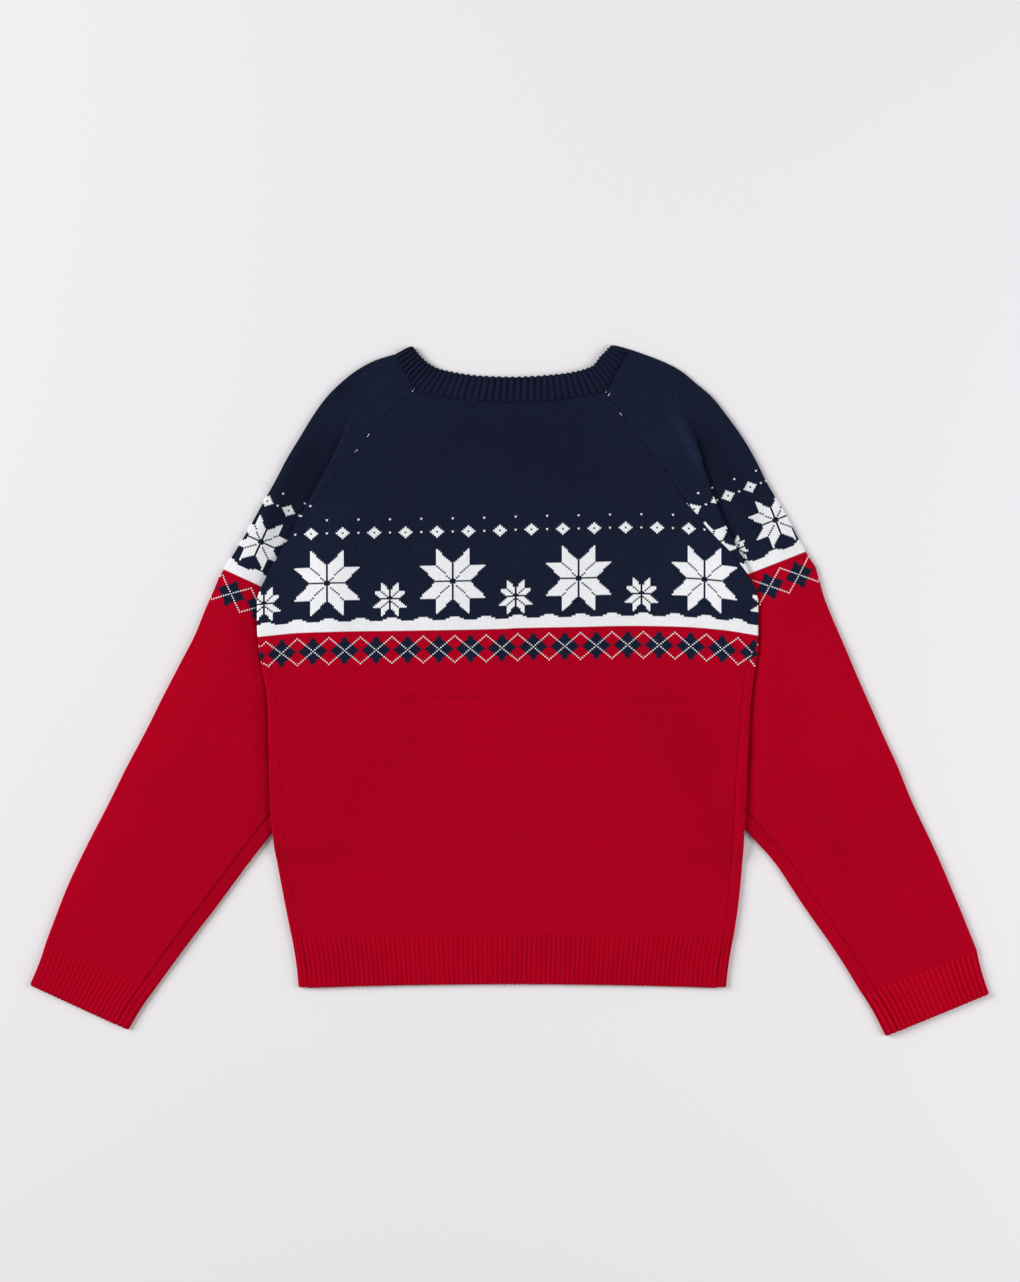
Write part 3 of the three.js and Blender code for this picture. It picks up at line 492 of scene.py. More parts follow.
class Crease(NamedTuple):
    """A soft trough, or a ridge where its depth is negative, from one place on the cloth to another."""

    x0: float
    y0: float
    x1: float
    y1: float
    width: float
    depth: float
    sway: float


def crease_relief(points: np.ndarray, creases: Sequence[Crease]) -> np.ndarray:
    """Height that the creases give each point, in millimetres.

    Args:
        points: the cloth's middle points, in the solids' own millimetres.
        creases: the troughs and ridges placed on this piece.

    Returns:
        One height for each point, negative in a trough.
    """
    height = np.zeros(points.shape[:-1])
    for crease in creases:
        start = np.array([crease.x0, crease.y0])
        run = np.array([crease.x1, crease.y1]) - start
        length = np.linalg.norm(run)
        way = run / length
        off = points[..., :2] - start
        along = (off @ way) / length
        across = off @ np.array([-way[1], way[0]])
        wander = crease.sway * np.sin(2.1 * math.pi * along + crease.x0)
        taper = ease(along / 0.25) * ease((1 - along) / 0.35)
        uneven = 0.75 + 0.25 * np.sin(5.3 * along + crease.depth * 9)
        spread = crease.width * (0.8 + 0.4 * along)
        height -= crease.depth * uneven * taper * np.exp(-(((across - wander) / spread) ** 2))
    return height


def soft_unevenness(points: np.ndarray, height: float, seed: int, wave: float = 60.0) -> np.ndarray:
    """Gentle random swells of the cloth, the same on each run."""
    rng = np.random.default_rng(seed)
    total = np.zeros(points.shape[:-1])
    for _ in range(14):
        angle = rng.uniform(0, math.pi)
        size = wave * rng.uniform(0.5, 1.6)
        phase = rng.uniform(0, 2 * math.pi)
        way = points[..., 0] * math.cos(angle) + points[..., 1] * math.sin(angle)
        total += np.sin(2 * math.pi * way / size + phase)
    return height * total / math.sqrt(14)


def seam_relief(distance: np.ndarray, ridge: float = SEAM_RIDGE, groove: float = SEAM_GROOVE) -> np.ndarray:
    """Height beside a sewn edge: a groove at the edge and a soft ridge next to it."""
    beside = np.exp(-(((distance - RIDGE_PLACE) / RIDGE_WIDTH) ** 2))
    return ridge * beside - groove * np.exp(-((distance / GROOVE_WIDTH) ** 2))


def raised(points: np.ndarray) -> np.ndarray:
    """1 on the leaf that shows and 0 on the one that lies on the surface."""
    return ease((points[..., 2] - FLOOR - LEAF_START) / LEAF_RISE)


def run_lengths(points: np.ndarray) -> np.ndarray:
    """Running length along each row of a grid of points."""
    return running(np.linalg.norm(np.diff(points, axis=1), axis=2))


# Cloth shells


class Cut(NamedTuple):
    """The cut of a piece of cloth, in metres, how it is held, and the piece that it rests on."""

    flat: tuple[float, float]
    area: float
    rests_on: str
    held: str = "laid"


@dataclass
class Cloth:
    """One piece of cloth: a grid of middle points with its knitting coordinates.

    points are in the solids' millimetres, rows by columns. knit holds the place on the flat
    cloth, across and along the wales, and rib the height of the ribs, 0 in their furrows to 1.
    """

    name: str
    points: np.ndarray
    knit: np.ndarray
    flip: bool = False
    ring: bool = False
    rib: np.ndarray | None = None
    rib_rise: float = 0.7
    relief: np.ndarray | None = None
    wall: float = WALL
    row_rims: tuple[float, float] = (SEAM_RIM, SEAM_RIM)
    column_rims: Any = SEAM_RIM  # one share, or one for each end of each row
    outer: np.ndarray = field(init=False, default=None)
    middle: np.ndarray = field(init=False, default=None)

    def normals(self) -> np.ndarray:
        """Outward normals of the middle surface."""
        p = self.points
        if self.ring:
            across = np.roll(p, -1, axis=1) - np.roll(p, 1, axis=1)
        else:
            across = np.gradient(p, axis=1)
        down = np.gradient(p, axis=0)
        normal = np.cross(down, across)
        size = np.linalg.norm(normal, axis=-1, keepdims=True)
        normal = normal / np.maximum(size, 1e-9)
        return -normal if self.flip else normal

    def edge_part(self) -> np.ndarray:
        """Share of the wall's thickness at each point, less at the edges so that they are round."""
        part = np.ones(self.points.shape[:2])
        if not self.ring:
            part[:, [0, -1]] = self.column_rims
        for edge, beside, rim in ((0, 1, self.row_rims[0]), (-1, -2, self.row_rims[1])):
            part[edge] = np.minimum(part[edge], rim)
            part[beside] = np.minimum(part[beside], (1 + rim) / 1.6)
        return part

    def shell(self, shift: np.ndarray) -> tuple[np.ndarray, np.ndarray, np.ndarray]:
        """Points in metres, faces and knitting coordinates of the closed shell, moved to the frame."""
        normal = self.normals()
        half = (self.wall / 2) * self.edge_part()[..., None]
        moved = self.points.copy()
        if self.relief is not None:
            moved = moved + normal * self.relief[..., None]
        ribs = 0.0 if self.rib is None else self.rib[..., None] * self.rib_rise
        self.middle = moved + shift
        self.outer = moved + normal * (half + ribs) + shift
        inner = moved - normal * half + shift
        self.outer[..., 2] = np.maximum(self.outer[..., 2], 0.02)
        inner[..., 2] = np.maximum(inner[..., 2], 0.02)
        rows, cols = self.points.shape[:2]
        index = np.arange(rows * cols).reshape(rows, cols)
        ring_index = np.hstack([index, index[:, :1]]) if self.ring else index
        a, b = ring_index[:-1, :-1], ring_index[:-1, 1:]
        c, d = ring_index[1:, 1:], ring_index[1:, :-1]
        top = np.stack([a, d, c, b], axis=-1).reshape(-1, 4)
        size = rows * cols
        bottom = np.stack([a, b, c, d], axis=-1).reshape(-1, 4) + size
        strips = [self.strip(ring_index[0], size, False), self.strip(ring_index[-1], size, True)]
        rims = list(self.row_rims)
        if not self.ring:
            strips += [self.strip(index[:, 0], size, True), self.strip(index[:, -1], size, False)]
            rims += list(np.broadcast_to(self.column_rims, (rows, 2)).max(axis=0))
        vertices = np.vstack([self.outer.reshape(-1, 3), inner.reshape(-1, 3)]) * MM
        knit = np.vstack([self.knit.reshape(-1, 2)] * 2)
        for k, rim in enumerate(rims):
            if rim > FLAT_RIM:  # a square edge has its own points, so that it is shaded apart
                own, turned = np.unique(strips[k], return_inverse=True)
                strips[k] = len(vertices) + turned.reshape(strips[k].shape)
                vertices = np.vstack([vertices, vertices[own]])
                knit = np.vstack([knit, knit[own]])
        faces = np.vstack([top, bottom, *strips])
        return vertices, faces[:, ::-1] if self.flip else faces, knit

    def build(
        self, finish: "Finish", slot: str, shift: np.ndarray, node: str, cut: Cut
    ) -> None:
        """Makes the closed shell and dresses it.

        Args:
            finish: the knit finish of the piece.
            slot: the record's material slot; not used.
            shift: where the solids' own origin lies in the frame, in millimetres.
            node: the solid that the piece stands for.
            cut: its flat cloth; not used.
        """
        vertices, faces, knit = self.shell(shift)
        mesh = bpy.data.meshes.new(self.name)
        mesh.from_pydata(vertices.tolist(), [], faces.tolist())
        mesh.update()
        layer = mesh.uv_layers.new(name="knit")
        corners = np.empty(len(mesh.loops), dtype=np.int32)
        mesh.loops.foreach_get("vertex_index", corners)
        layer.data.foreach_set("uv", (knit[corners] * MM).astype(np.float32).ravel())
        mesh.materials.append(finish.material())
        piece = show(self.name, mesh)
        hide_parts(node)

    @staticmethod
    def strip(line: np.ndarray, size: int, turned: bool) -> np.ndarray:
        """Faces between the outer and the inner points of one edge."""
        a, b = line[:-1], line[1:]
        quads = np.stack([a, b, b + size, a + size], axis=-1)
        return quads[:, ::-1] if turned else quads


def linked(name: str, data: bpy.types.ID) -> bpy.types.Object:
    """A new object in the scene."""
    made = bpy.data.objects.new(name, data)
    bpy.context.scene.collection.objects.link(made)
    return made


def show(name: str, mesh: bpy.types.Mesh) -> bpy.types.Object:
    """Puts a mesh in the scene as one smooth piece that rides on the object's body."""
    mesh.name = name
    mesh.polygons.foreach_set("use_smooth", np.ones(len(mesh.polygons), dtype=bool))
    piece = linked(name, mesh)
    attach(piece, "root")
    log.info("%s: %d faces", name, len(mesh.polygons))
    return piece


# Shader maths


def operator(operation: str, swapped: bool = False) -> Callable[["Value", Any], "Value"]:
    """A method that adds one Math node of a value and another one, or of the other one first."""

    def method(self: "Value", other: Any) -> "Value":
        """The Math node's result."""
        return self.tree.math(operation, *((other, self) if swapped else (self, other)))

    return method


class Value:
    """A number socket of a shader tree, with the operators that its maths uses."""

    def __init__(self, tree: "Tree", socket: bpy.types.NodeSocket) -> None:
        """Keeps the tree and the socket that this value comes from."""
        self.tree = tree
        self.socket = socket

    __add__ = __radd__ = operator("ADD")
    __mul__ = __rmul__ = operator("MULTIPLY")
    __sub__ = operator("SUBTRACT")
    __rsub__ = operator("SUBTRACT", swapped=True)
    __truediv__ = operator("DIVIDE")
    __pow__ = operator("POWER")
    __gt__ = operator("GREATER_THAN")
    __lt__ = operator("LESS_THAN")
    larger = operator("MAXIMUM")  # joins two masks
    smaller = operator("MINIMUM")

    def math(self, operation: str) -> "Value":
        """A Math node of this value alone."""
        return self.tree.math(operation, self)

    def __abs__(self) -> "Value":
        """Absolute value."""
        return self.math("ABSOLUTE")

    def floor(self) -> "Value":
        """Whole number below."""
        return self.math("FLOOR")

    def fraction(self) -> "Value":
        """Part above the whole number below."""
        return self.math("FRACT")

    def centred(self, period: float, middle: float = 0.0) -> "Value":
        """Signed distance to the nearest of the places middle + n * period."""
        return ((self - (middle - period / 2)) / period).fraction() * period - period / 2


class Tree:
    """A node tree and the few ways in which nodes are added to it."""

    def __init__(self, tree: bpy.types.NodeTree) -> None:
        """Starts with no nodes."""
        self.nodes = tree.nodes
        self.links = tree.links
        self.nodes.clear()

    def node(
        self, kind: str, settings: dict[str, Any] | None = None, sockets: dict[Any, Any] | None = None
    ) -> bpy.types.Node:
        """Adds a node.

        Args:
            kind: the node's type.
            settings: its own properties, set first.
            sockets: values or links of its input sockets, by name or number.

        Returns:
            The new node.
        """
        made = self.nodes.new(kind)
        for key, setting in (settings or {}).items():
            setattr(made, key, setting)
        for key, given in (sockets or {}).items():
            source = given.socket if isinstance(given, Value) else given
            if isinstance(source, bpy.types.NodeSocket):
                self.links.new(source, made.inputs[key])
            else:
                made.inputs[key].default_value = source
        return made

    def math(self, operation: str, *values: Any) -> Value:
        """A Math node."""
        made = self.node("ShaderNodeMath", {"operation": operation}, dict(enumerate(values)))
        return Value(self, made.outputs[0])

    def mix(self, part: Any, first: Any, second: Any) -> bpy.types.NodeSocket:
        """A colour between two colours."""
        made = self.node(
            "ShaderNodeMix", {"data_type": "RGBA", "clamp_factor": True}, {0: part, 6: first, 7: second}
        )
        return made.outputs[2]

    def shade(self, colour: Any, amount: Value) -> bpy.types.NodeSocket:
        """A colour made darker or lighter by an amount, 1 for no change."""
        grey = self.node("ShaderNodeCombineColor", {}, {0: amount, 1: amount, 2: amount})
        made = self.node(
            "ShaderNodeMix",
            {"data_type": "RGBA", "blend_type": "MULTIPLY"},
            {0: 1.0, 6: colour, 7: grey.outputs[0]},
        )
        return made.outputs[2]

    def noise(self, scale: float, detail: float = 2.0) -> Value:
        """Soft noise on object coordinates, about 0.5 on average, its waves a scale to the metre."""
        place_on_object = self.node("ShaderNodeTexCoord")
        made = self.node(
            "ShaderNodeTexNoise",
            {"noise_dimensions": "3D"},
            {"Vector": place_on_object.outputs["Object"], "Scale": scale, "Detail": detail},
        )
        return Value(self, made.outputs[0])

    def knit_place(self, across: float, along: float) -> tuple[Value, Value]:
        """Place on the flat cloth, in units of two lengths in millimetres."""
        knit = self.node("ShaderNodeUVMap", {"uv_map": "knit"})
        parts = self.node("ShaderNodeSeparateXYZ", {}, {0: knit.outputs[0]})
        return Value(self, parts.outputs[0]) / (across * MM), Value(self, parts.outputs[1]) / (along * MM)

    def wool(self, colour: Any, strength: float, depth: float, height: Value) -> bpy.types.Node:
        """Soft matt wool with a bump of some depth in metres."""
        bump = self.node("ShaderNodeBump", {}, {"Strength": strength, "Distance": depth, "Height": height})
        settings = {
            "Base Color": colour,
            "Roughness": 0.92,
            "Specular IOR Level": 0.02,
            "Sheen Weight": 0.03,
            "Sheen Roughness": 0.3,
            "Normal": bump.outputs[0],
        }
        return self.node("ShaderNodeBsdfPrincipled", {}, settings)


# Finishes

NAVY = (0.0060, 0.0090, 0.0260, 1.0)
PALE_NAVY = (0.0150, 0.0200, 0.0440, 1.0)
DEEP_NAVY = (0.0105, 0.0135, 0.0330, 1.0)
RED = (0.4450, 0.0005, 0.0150, 1.0)
RIB_RED = (0.4700, 0.0006, 0.0150, 1.0)
WHITE = (0.9200, 0.9250, 0.9500, 1.0)
GRAIN = 900.0  # waves to the metre of the wool's grain
FUZZ = 2600.0  # the same of its fibres


@dataclass(frozen=True)
class Finish:
    """A finish that can give its material. Each one is made once."""

    name: str

    def material(self) -> bpy.types.Material:
        """The finish's material, made when it is first asked for."""
        known = bpy.data.materials.get(self.name)
        if known is not None:
            return known
        made = bpy.data.materials.new(self.name)
        made.use_nodes = True
        tree = Tree(made.node_tree)
        tree.node("ShaderNodeOutputMaterial", {}, {0: self.shader(tree).outputs[0]})
        return made

    def shader(self, tree: Tree) -> bpy.types.Node:
        """Builds the finish's nodes, up to its shader."""
        raise NotImplementedError


@dataclass(frozen=True)
class Motif:
    """Where the pattern of the patterned knit sits on a piece, in stitches and rows."""

    middle: float = 0.0  # stitch at the middle of one argyle diamond
    star_middle: float = 32.0  # stitch at the middle of one large star
    star_period: float = 64.0  # stitches from one large star to the next
    star: float = 16.0  # size of a large star's petal, in millimetres
    small_star: float = 8.0  # the same for a small star
    star_row: float = 0.0  # middle of the large stars, in millimetres above the band
    small_row: float = 0.0  # middle of the small stars


class Shade(NamedTuple):
    """A broad soft patch painted a little darker or lighter, in millimetres on the flat cloth."""

    across: float
    along: float
    wide: float
    high: float
    amount: float


@dataclass(frozen=True)
class KnitFinish(Finish):
    """Fine stocking stitch with the white, navy and red pattern."""

    motif: Motif
    stitch_w: float = STITCH_W
    stitch_h: float = STITCH_H
    depth: float = 0.00035  # of the bump, in metres
    level: float = 0.795  # lightness of the even cloth
    groove: float = 0.396  # how much painted shade darkens the grooves between the stitches
    slant: float = 0.6  # how far a stitch's legs lean, in rows
    dot_width: float = 0.72  # share of a stitch's width that shows where it stands alone
    dot_rung: float = 0.5  # the same along the stitch, as a threshold
    shades: tuple[Shade, ...] = ()

    def shader(self, tree: Tree) -> bpy.types.Node:
        """Builds the knitted finish on the piece's knit coordinates."""
        across, along = tree.knit_place(self.stitch_w, self.stitch_h)
        leg = abs(across.fraction() * 2 - 1)
        slanted = along - leg * self.slant
        stitch = across.floor()
        row = slanted.floor()
        half = (across * 2).fraction() * 2 - 1
        round_leg = 1 - half * half
        rung = (slanted.fraction() * math.pi).math("SINE")
        colour = self.colours(tree, stitch, row, (leg < self.dot_width) * (rung > self.dot_rung))
        cell = tree.node("ShaderNodeCombineXYZ", {}, {0: stitch, 1: row})
        speck = tree.node("ShaderNodeTexWhiteNoise", {"noise_dimensions": "3D"}, {0: cell.outputs[0]})
        uneven = Value(tree, speck.outputs[0]) * 0.06 + tree.noise(9.0) * 0.12 + tree.noise(GRAIN) * 0.08
        # painted light on the rounded middle of each stitch's legs, painted shade at its edges and between
        # rows
        loops = round_leg * (rung * 0.5 + 0.5) - leg**4 * 0.3 - 0.485
        light = self.level + loops * self.groove + uneven
        # painted patches: shade beside the sleeves' folds, highlights on them, and broad darker and lighter
        # areas on the body
        for shade in self.shades:
            off = ((across * self.stitch_w - shade.across) / shade.wide) ** 2.0
            off = off + ((along * self.stitch_h - shade.along) / shade.high) ** 2.0
            light = light + (off * -1.0).math("EXPONENT") * shade.amount
        shaded = tree.shade(colour, light)
        height = round_leg * (rung * 0.55 + 0.45) + tree.noise(FUZZ, 3.0) * 0.5
        return tree.wool(shaded, 0.8, self.depth, height)

    def colours(self, tree: Tree, stitch: Value, row: Value, proud: Value) -> bpy.types.NodeSocket:
        """Colour of each stitch.

        Args:
            tree: the material's tree.
            stitch: whole number of the stitch across.
            row: whole number of the row, 0 for the first white one.
            proud: mask of the part of a stitch that shows where it stands alone.

        Returns:
            The socket of the pattern's colour.
        """
        navy = tree.mix(tree.noise(1100.0, 3.0) * 2.4 - 0.7, NAVY, PALE_NAVY)
        argyle = self.argyle(stitch, row)
        below = tree.mix(argyle[0], RED, navy)
        below = tree.mix(argyle[1] * proud, below, WHITE)
        white = self.band(stitch, row).larger(self.stars(stitch, row)).larger(self.flurry(stitch, row))
        above = tree.mix(white, navy, WHITE)
        return tree.mix(row > -0.5, below, above)

    def argyle(self, stitch: Value, row: Value) -> tuple[Value, Value]:
        """Masks of the navy diamonds and of the single white stitches that cross in them."""
        across = abs(stitch.centred(16.0, self.motif.middle))
        up = abs(row + 12.0)
        diamond = (across + up * (6.8 / 7.8)) < 7.2
        line = (abs(across - up) < 0.5) * (up < 8.5)  # one stitch wide
        return diamond, line

    def band(self, stitch: Value, row: Value) -> Value:
        """Mask of the white band with its evenly stepped upper edge."""
        step = abs(stitch.centred(16.0, self.motif.middle + 8))
        height = 5.5 + (step < 4.5) + (step < 2.5)
        return (row > -0.5) * (row < height)

    def stars(self, stitch: Value, row: Value) -> Value:
        """Mask of the eight-petalled stars, large and small in turn."""
        motif = self.motif
        wide = abs(stitch.centred(motif.star_period, motif.star_middle)) * self.stitch_w
        large = self.star(wide, abs((row + 0.5) * self.stitch_h - motif.star_row), motif.star)
        between = motif.star_middle + motif.star_period / 2
        narrow = abs(stitch.centred(motif.star_period, between)) * self.stitch_w
        small = self.star(narrow, abs((row + 0.5) * self.stitch_h - motif.small_row), motif.small_star)
        return large.larger(small)

    @staticmethod
    def star(across: Value, up: Value, petal: float) -> Value:
        """Mask of one star of eight petals, each a leaning diamond."""
        far = across.larger(up)
        near = across.smaller(up)
        lean = far - near
        seam = 0.8
        return (near > seam) * (near < petal) * (lean > seam) * (lean < petal)

    def flurry(self, stitch: Value, row: Value) -> Value:
        """Mask of the small diamonds and single stitches over the stars."""
        motif = self.motif
        top = motif.star_row + 2 * motif.star
        row_at = round((top + 14) / self.stitch_h)
        wide = abs(stitch.centred(motif.star_period / 4, motif.star_middle + motif.star_period / 8))
        up = abs(row - row_at)
        diamond = (wide + up < 3.5) * (wide + up > 0.5)
        dots = (abs(stitch.centred(motif.star_period / 4, motif.star_middle)) < 0.5) * (
            (abs(row - row_at) < 0.5).larger(abs(row - row_at - 8) < 0.5)
        )
        return diamond.larger(dots)


@dataclass(frozen=True)
class RibFinish(Finish):
    """Fine one by one rib, its stitches on the crests, with painted light on their middles and painted
    shade in the furrows between them.
    """

    colour: tuple[float, float, float, float] = RED
    pitch: float = RIB_PITCH
    stitch_h: float = STITCH_H
    depth: float = 0.0004  # of the bump, in metres
    level: float = 0.7  # lightness of the furrows' edges
    furrow: float = 0.5  # how much painted shade darkens a furrow below a crest, at most
    furrow_edge: float = 4.0  # how sharply the furrows begin

    def shader(self, tree: Tree) -> bpy.types.Node:
        """Builds the ribbed finish on the piece's knit coordinates."""
        across, along = tree.knit_place(self.pitch, self.stitch_h)
        off_crest = abs(across.fraction() - 0.5) * 2
        leg = (off_crest * 1.6).smaller(1.0)
        rung = ((along - leg * 0.7).fraction() * math.pi).math("SINE")
        crest = 1 - off_crest**self.furrow_edge
        uneven = tree.noise(14.0) * 0.1 + tree.noise(GRAIN) * 0.1
        # painted shade in the furrows, deeper in places, and painted light on the middle of each stitch on
        # the crests
        deep = (tree.noise(8.0, 1.0) * 1.6 - 0.3) * self.furrow
        light = self.level + rung * crest * 0.12 - (1 - crest) * deep + uneven
        shaded = tree.shade(self.colour, light)
        height = crest * 0.4 + rung * crest * 0.5 + tree.noise(FUZZ, 3.0) * 0.5
        return tree.wool(shaded, 0.8, self.depth, height)


@dataclass(frozen=True)
class YarnFinish(Finish):
    """Plain yarn of the sewn and linked stitches."""

    colour: tuple[float, float, float, float] = NAVY

    def shader(self, tree: Tree) -> bpy.types.Node:
        """Builds the plain yarn."""
        shaded = tree.shade(self.colour, tree.noise(1500.0) * 0.6 + 0.7)
        return tree.wool(shaded, 0.6, 0.0002, tree.noise(3000.0))


@dataclass(frozen=True)
class TableFinish(Finish):
    """Plain pale surface under the sweater."""

    def shader(self, tree: Tree) -> bpy.types.Node:
        """Builds the plain surface."""
        settings = {"Base Color": (0.80, 0.785, 0.80, 1.0), "Roughness": 0.9, "Specular IOR Level": 0.1}
        return tree.node("ShaderNodeBsdfPrincipled", {}, settings)


# The sweater's pieces


class RowEnd(NamedTuple):
    """One end of a row of the body: its fold's place, the way out across it, and the section there."""

    origin: np.ndarray
    way: np.ndarray
    fold: Fold
    inset: float
    under: float
    rise: float
    gap: float = SEAM_GAP


def raglan_end(station: Raglan) -> RowEnd:
    """End of a row of the back at a raglan seam."""
    way = unit(station.outer - station.seam)
    sideways = np.array([math.copysign(1.0, station.x), 0.0])
    towards = float(ease(1 - station.edge / FOLD_RUN))
    bent = unit(sideways * (1 - towards) + way * towards)
    origin = station.seam + bent * station.edge
    fold, rise = shoulder_fold(station), shoulder_rise(station)
    return RowEnd(origin, bent, fold, station.edge, TUCK + FOLD_LEAD, rise)


def side_end(row: BodyRow, side: Side) -> RowEnd:
    """End of a row of the body at a side fold."""
    left = side is Side.LEFT
    under = row.under_left if left else row.under_right
    origin = np.array([row.left if left else row.right, row.y])
    way = np.array([float(side.value), 0.0])
    return RowEnd(origin, way, side_fold(row, under), row.inset, under, row.rise, 0.0 if left else 0.2)


def joined(upper: list[np.ndarray], lower: list[np.ndarray], between: int) -> np.ndarray:
    """Two stacks of rows with a few even rows between them."""
    steps = np.linspace(0, 1, between + 2)[1:-1]
    middle = [upper[-1] * (1 - t) + lower[0] * t for t in steps]
    return np.array(upper + middle + lower)


def band_line(x: np.ndarray) -> np.ndarray:
    """Height of the white band's lower edge over the back, where its rows are zero."""
    given = np.array(BAND_LINE, float)
    flat = monotone(given[:, 0], given[:, 1:], np.clip(x, given[0, 0], given[-1, 0]).ravel())
    return flat.reshape(x.shape)


def unrolled(points: np.ndarray, start: int, across: np.ndarray) -> np.ndarray:
    """Place of each point across the flat cloth, worked out along its row from one column.

    Args:
        points: the cloth's middle points.
        start: the column where the flat place is the place in plan.
        across: the way across the wales in plan.

    Returns:
        One place for each point, in millimetres.
    """
    plan = points[..., :2] @ across
    run = running(np.hypot(np.diff(plan, axis=1), np.diff(points[..., 2], axis=1)))
    return plan[:, start : start + 1] + run - run[:, start : start + 1]


def body_places(points: np.ndarray) -> np.ndarray:
    """Knit coordinates of a panel of the body: across from its middle, along from the white band."""
    across = unrolled(points, points.shape[1] // 2, np.array([1.0, 0.0]))
    return np.stack([across, points[..., 1] - band_line(points[..., 0])], axis=-1)


class Fade(NamedTuple):
    """Where a seam begins to show, the length over which it comes in along Y, and its share."""

    start: float
    length: float
    share: float

    def at(self, y: np.ndarray) -> np.ndarray:
        """The seam's share at places along Y."""
        return self.share * ease((y - self.start) / self.length)


RAGLAN_RELIEF = Fade(60.0, 40.0, 1.0)
LOW_LEFT_RELIEF = Fade(-150.0, -60.0, 0.35)
RIGHT_RELIEF = Fade(30.0, -40.0, 0.8)


@dataclass
class Back:
    """The back panel, with the pattern over its middle and soft folds at both sides."""

    rows_each: int = 5
    lower_rows_each: int = 10
    end_columns: int = 26
    middle_columns: int = 120
    creases: tuple[Crease, ...] = table(
        Crease,
        (-224, -7, 60, -9, 3.2, 1.7, 0.8), (-40, -10, 220, -12, 3.6, 1.2, 1.2),
        (-220, 0, 20, -1, 3.4, -1.0, 0.8), (-224, -52, -50, -52, 3.0, 1.4, 1.0),
        (-220, -67, -100, -69, 3.2, 1.0, 1.0), (-90, -58, 214, -62, 5.0, 0.5, 2.0),
        (90, -100, 214, -96, 7.0, 0.6, 3.0), (40, -176, 110, -184, 8.0, 0.9, 3.0),
        (-40, -140, 120, -150, 7.0, 0.5, 3.0), (-84, 262, 84, 262, 5.0, -0.35, 1.0),
        (-60, 250, 40, 254, 9.0, 0.3, 2.0), (-180, 268, -128, 236, 5.0, -0.5, 1.0),
        (150, 190, 176, 120, 8.0, -0.7, 2.0), (196, 150, 224, 96, 6.0, -0.9, 1.0),
        (-150, 190, -178, 120, 8.0, -0.5, 2.0), (-226, 110, -232, 40, 7.0, -0.4, 1.0),
        (-150, -160, -60, -196, 10.0, 0.3, 4.0),
    )
    cloth: Cloth = field(init=False, default=None)

    def row(self, left: RowEnd, right: RowEnd, y: float, crown_part: float) -> np.ndarray:
        """One row of the back from its left edge to its right edge."""

        def half(end: RowEnd) -> np.ndarray:
            """The fine columns at one end, from inside to the edge."""
            to = end.fold.fold_at - end.inset - end.gap / 2
            near = columns(stretch(end.fold.path, to - END_REACH, to), self.end_columns)
            return place(end.origin, end.way, near)

        first, last = half(left)[::-1], half(right)
        part = np.linspace(0, 1, self.middle_columns + 1)[1:-1]
        start, end = first[-1], last[0]
        x = start[0] + (end[0] - start[0]) * part
        height = (
            TOP
            + lift(left.inset + END_REACH + x - start[0], left.under, left.rise, BACK_REST)
            + lift(right.inset + END_REACH + end[0] - x, right.under, right.rise, BACK_REST)
            + crown(part, BACK_CROWN) * crown_part
        )
        middle = np.stack([x, start[1] + (end[1] - start[1]) * part, height], axis=1)
        return bowed(np.vstack([first, middle, last]), bow_of(y, BACK_NECK_SAG))

    def points(self) -> np.ndarray:
        """Middle points of the back, neck first."""
        left = refine(RAGLANS[Side.LEFT], self.rows_each)
        right = refine(RAGLANS[Side.RIGHT], self.rows_each)
        upper = []
        for one, other in zip(left, right):
            from_neck = (NECK_Y - one.y) / (NECK_Y - UNDERARM_Y)
            part = float(crown(from_neck / 2, 1.0))
            upper.append(self.row(raglan_end(one), raglan_end(other), one.y, part))
        lower = []
        for row in refine(BODY_ROWS, self.lower_rows_each):
            part = float(crown(0.5 + 0.5 * (UNDERARM_Y - row.y) / (UNDERARM_Y - HEM_SEAM_Y), 1.0))
            lower.append(self.row(side_end(row, Side.LEFT), side_end(row, Side.RIGHT), row.y, part))
        return joined(upper, lower, 3)

    def build(self, finish: Finish, shift: np.ndarray) -> None:
        """Makes the back panel."""
        points = self.points()
        sums = run_lengths(points)
        y = points[..., 1]
        raglan = RAGLAN_RELIEF.at(y)
        relief = seam_relief(sums) * (raglan + LOW_LEFT_RELIEF.at(y))
        relief += seam_relief(sums[:, -1:] - sums) * (raglan + RIGHT_RELIEF.at(y))
        relief += seam_relief(y[:1] - y, 0.4, 0.2)
        relief += crease_relief(points, self.creases) + soft_unevenness(points, 0.16, 11)
        above = (y[:, 0] > UNDERARM_Y).astype(float)
        rims = np.stack([1.0 - (1 - SHOWN_RIM) * above, np.full(len(y), SHOWN_RIM)], axis=1)
        self.cloth = Cloth(
            "back_panel", points, body_places(points), relief=relief,
            row_rims=(SQUARE_RIM, SQUARE_RIM), column_rims=rims,
        )
        cut = Cut((0.47, 0.53), 0.205, "front_panel")
        self.cloth.build(finish, "patterned_knit", shift, "back", cut)


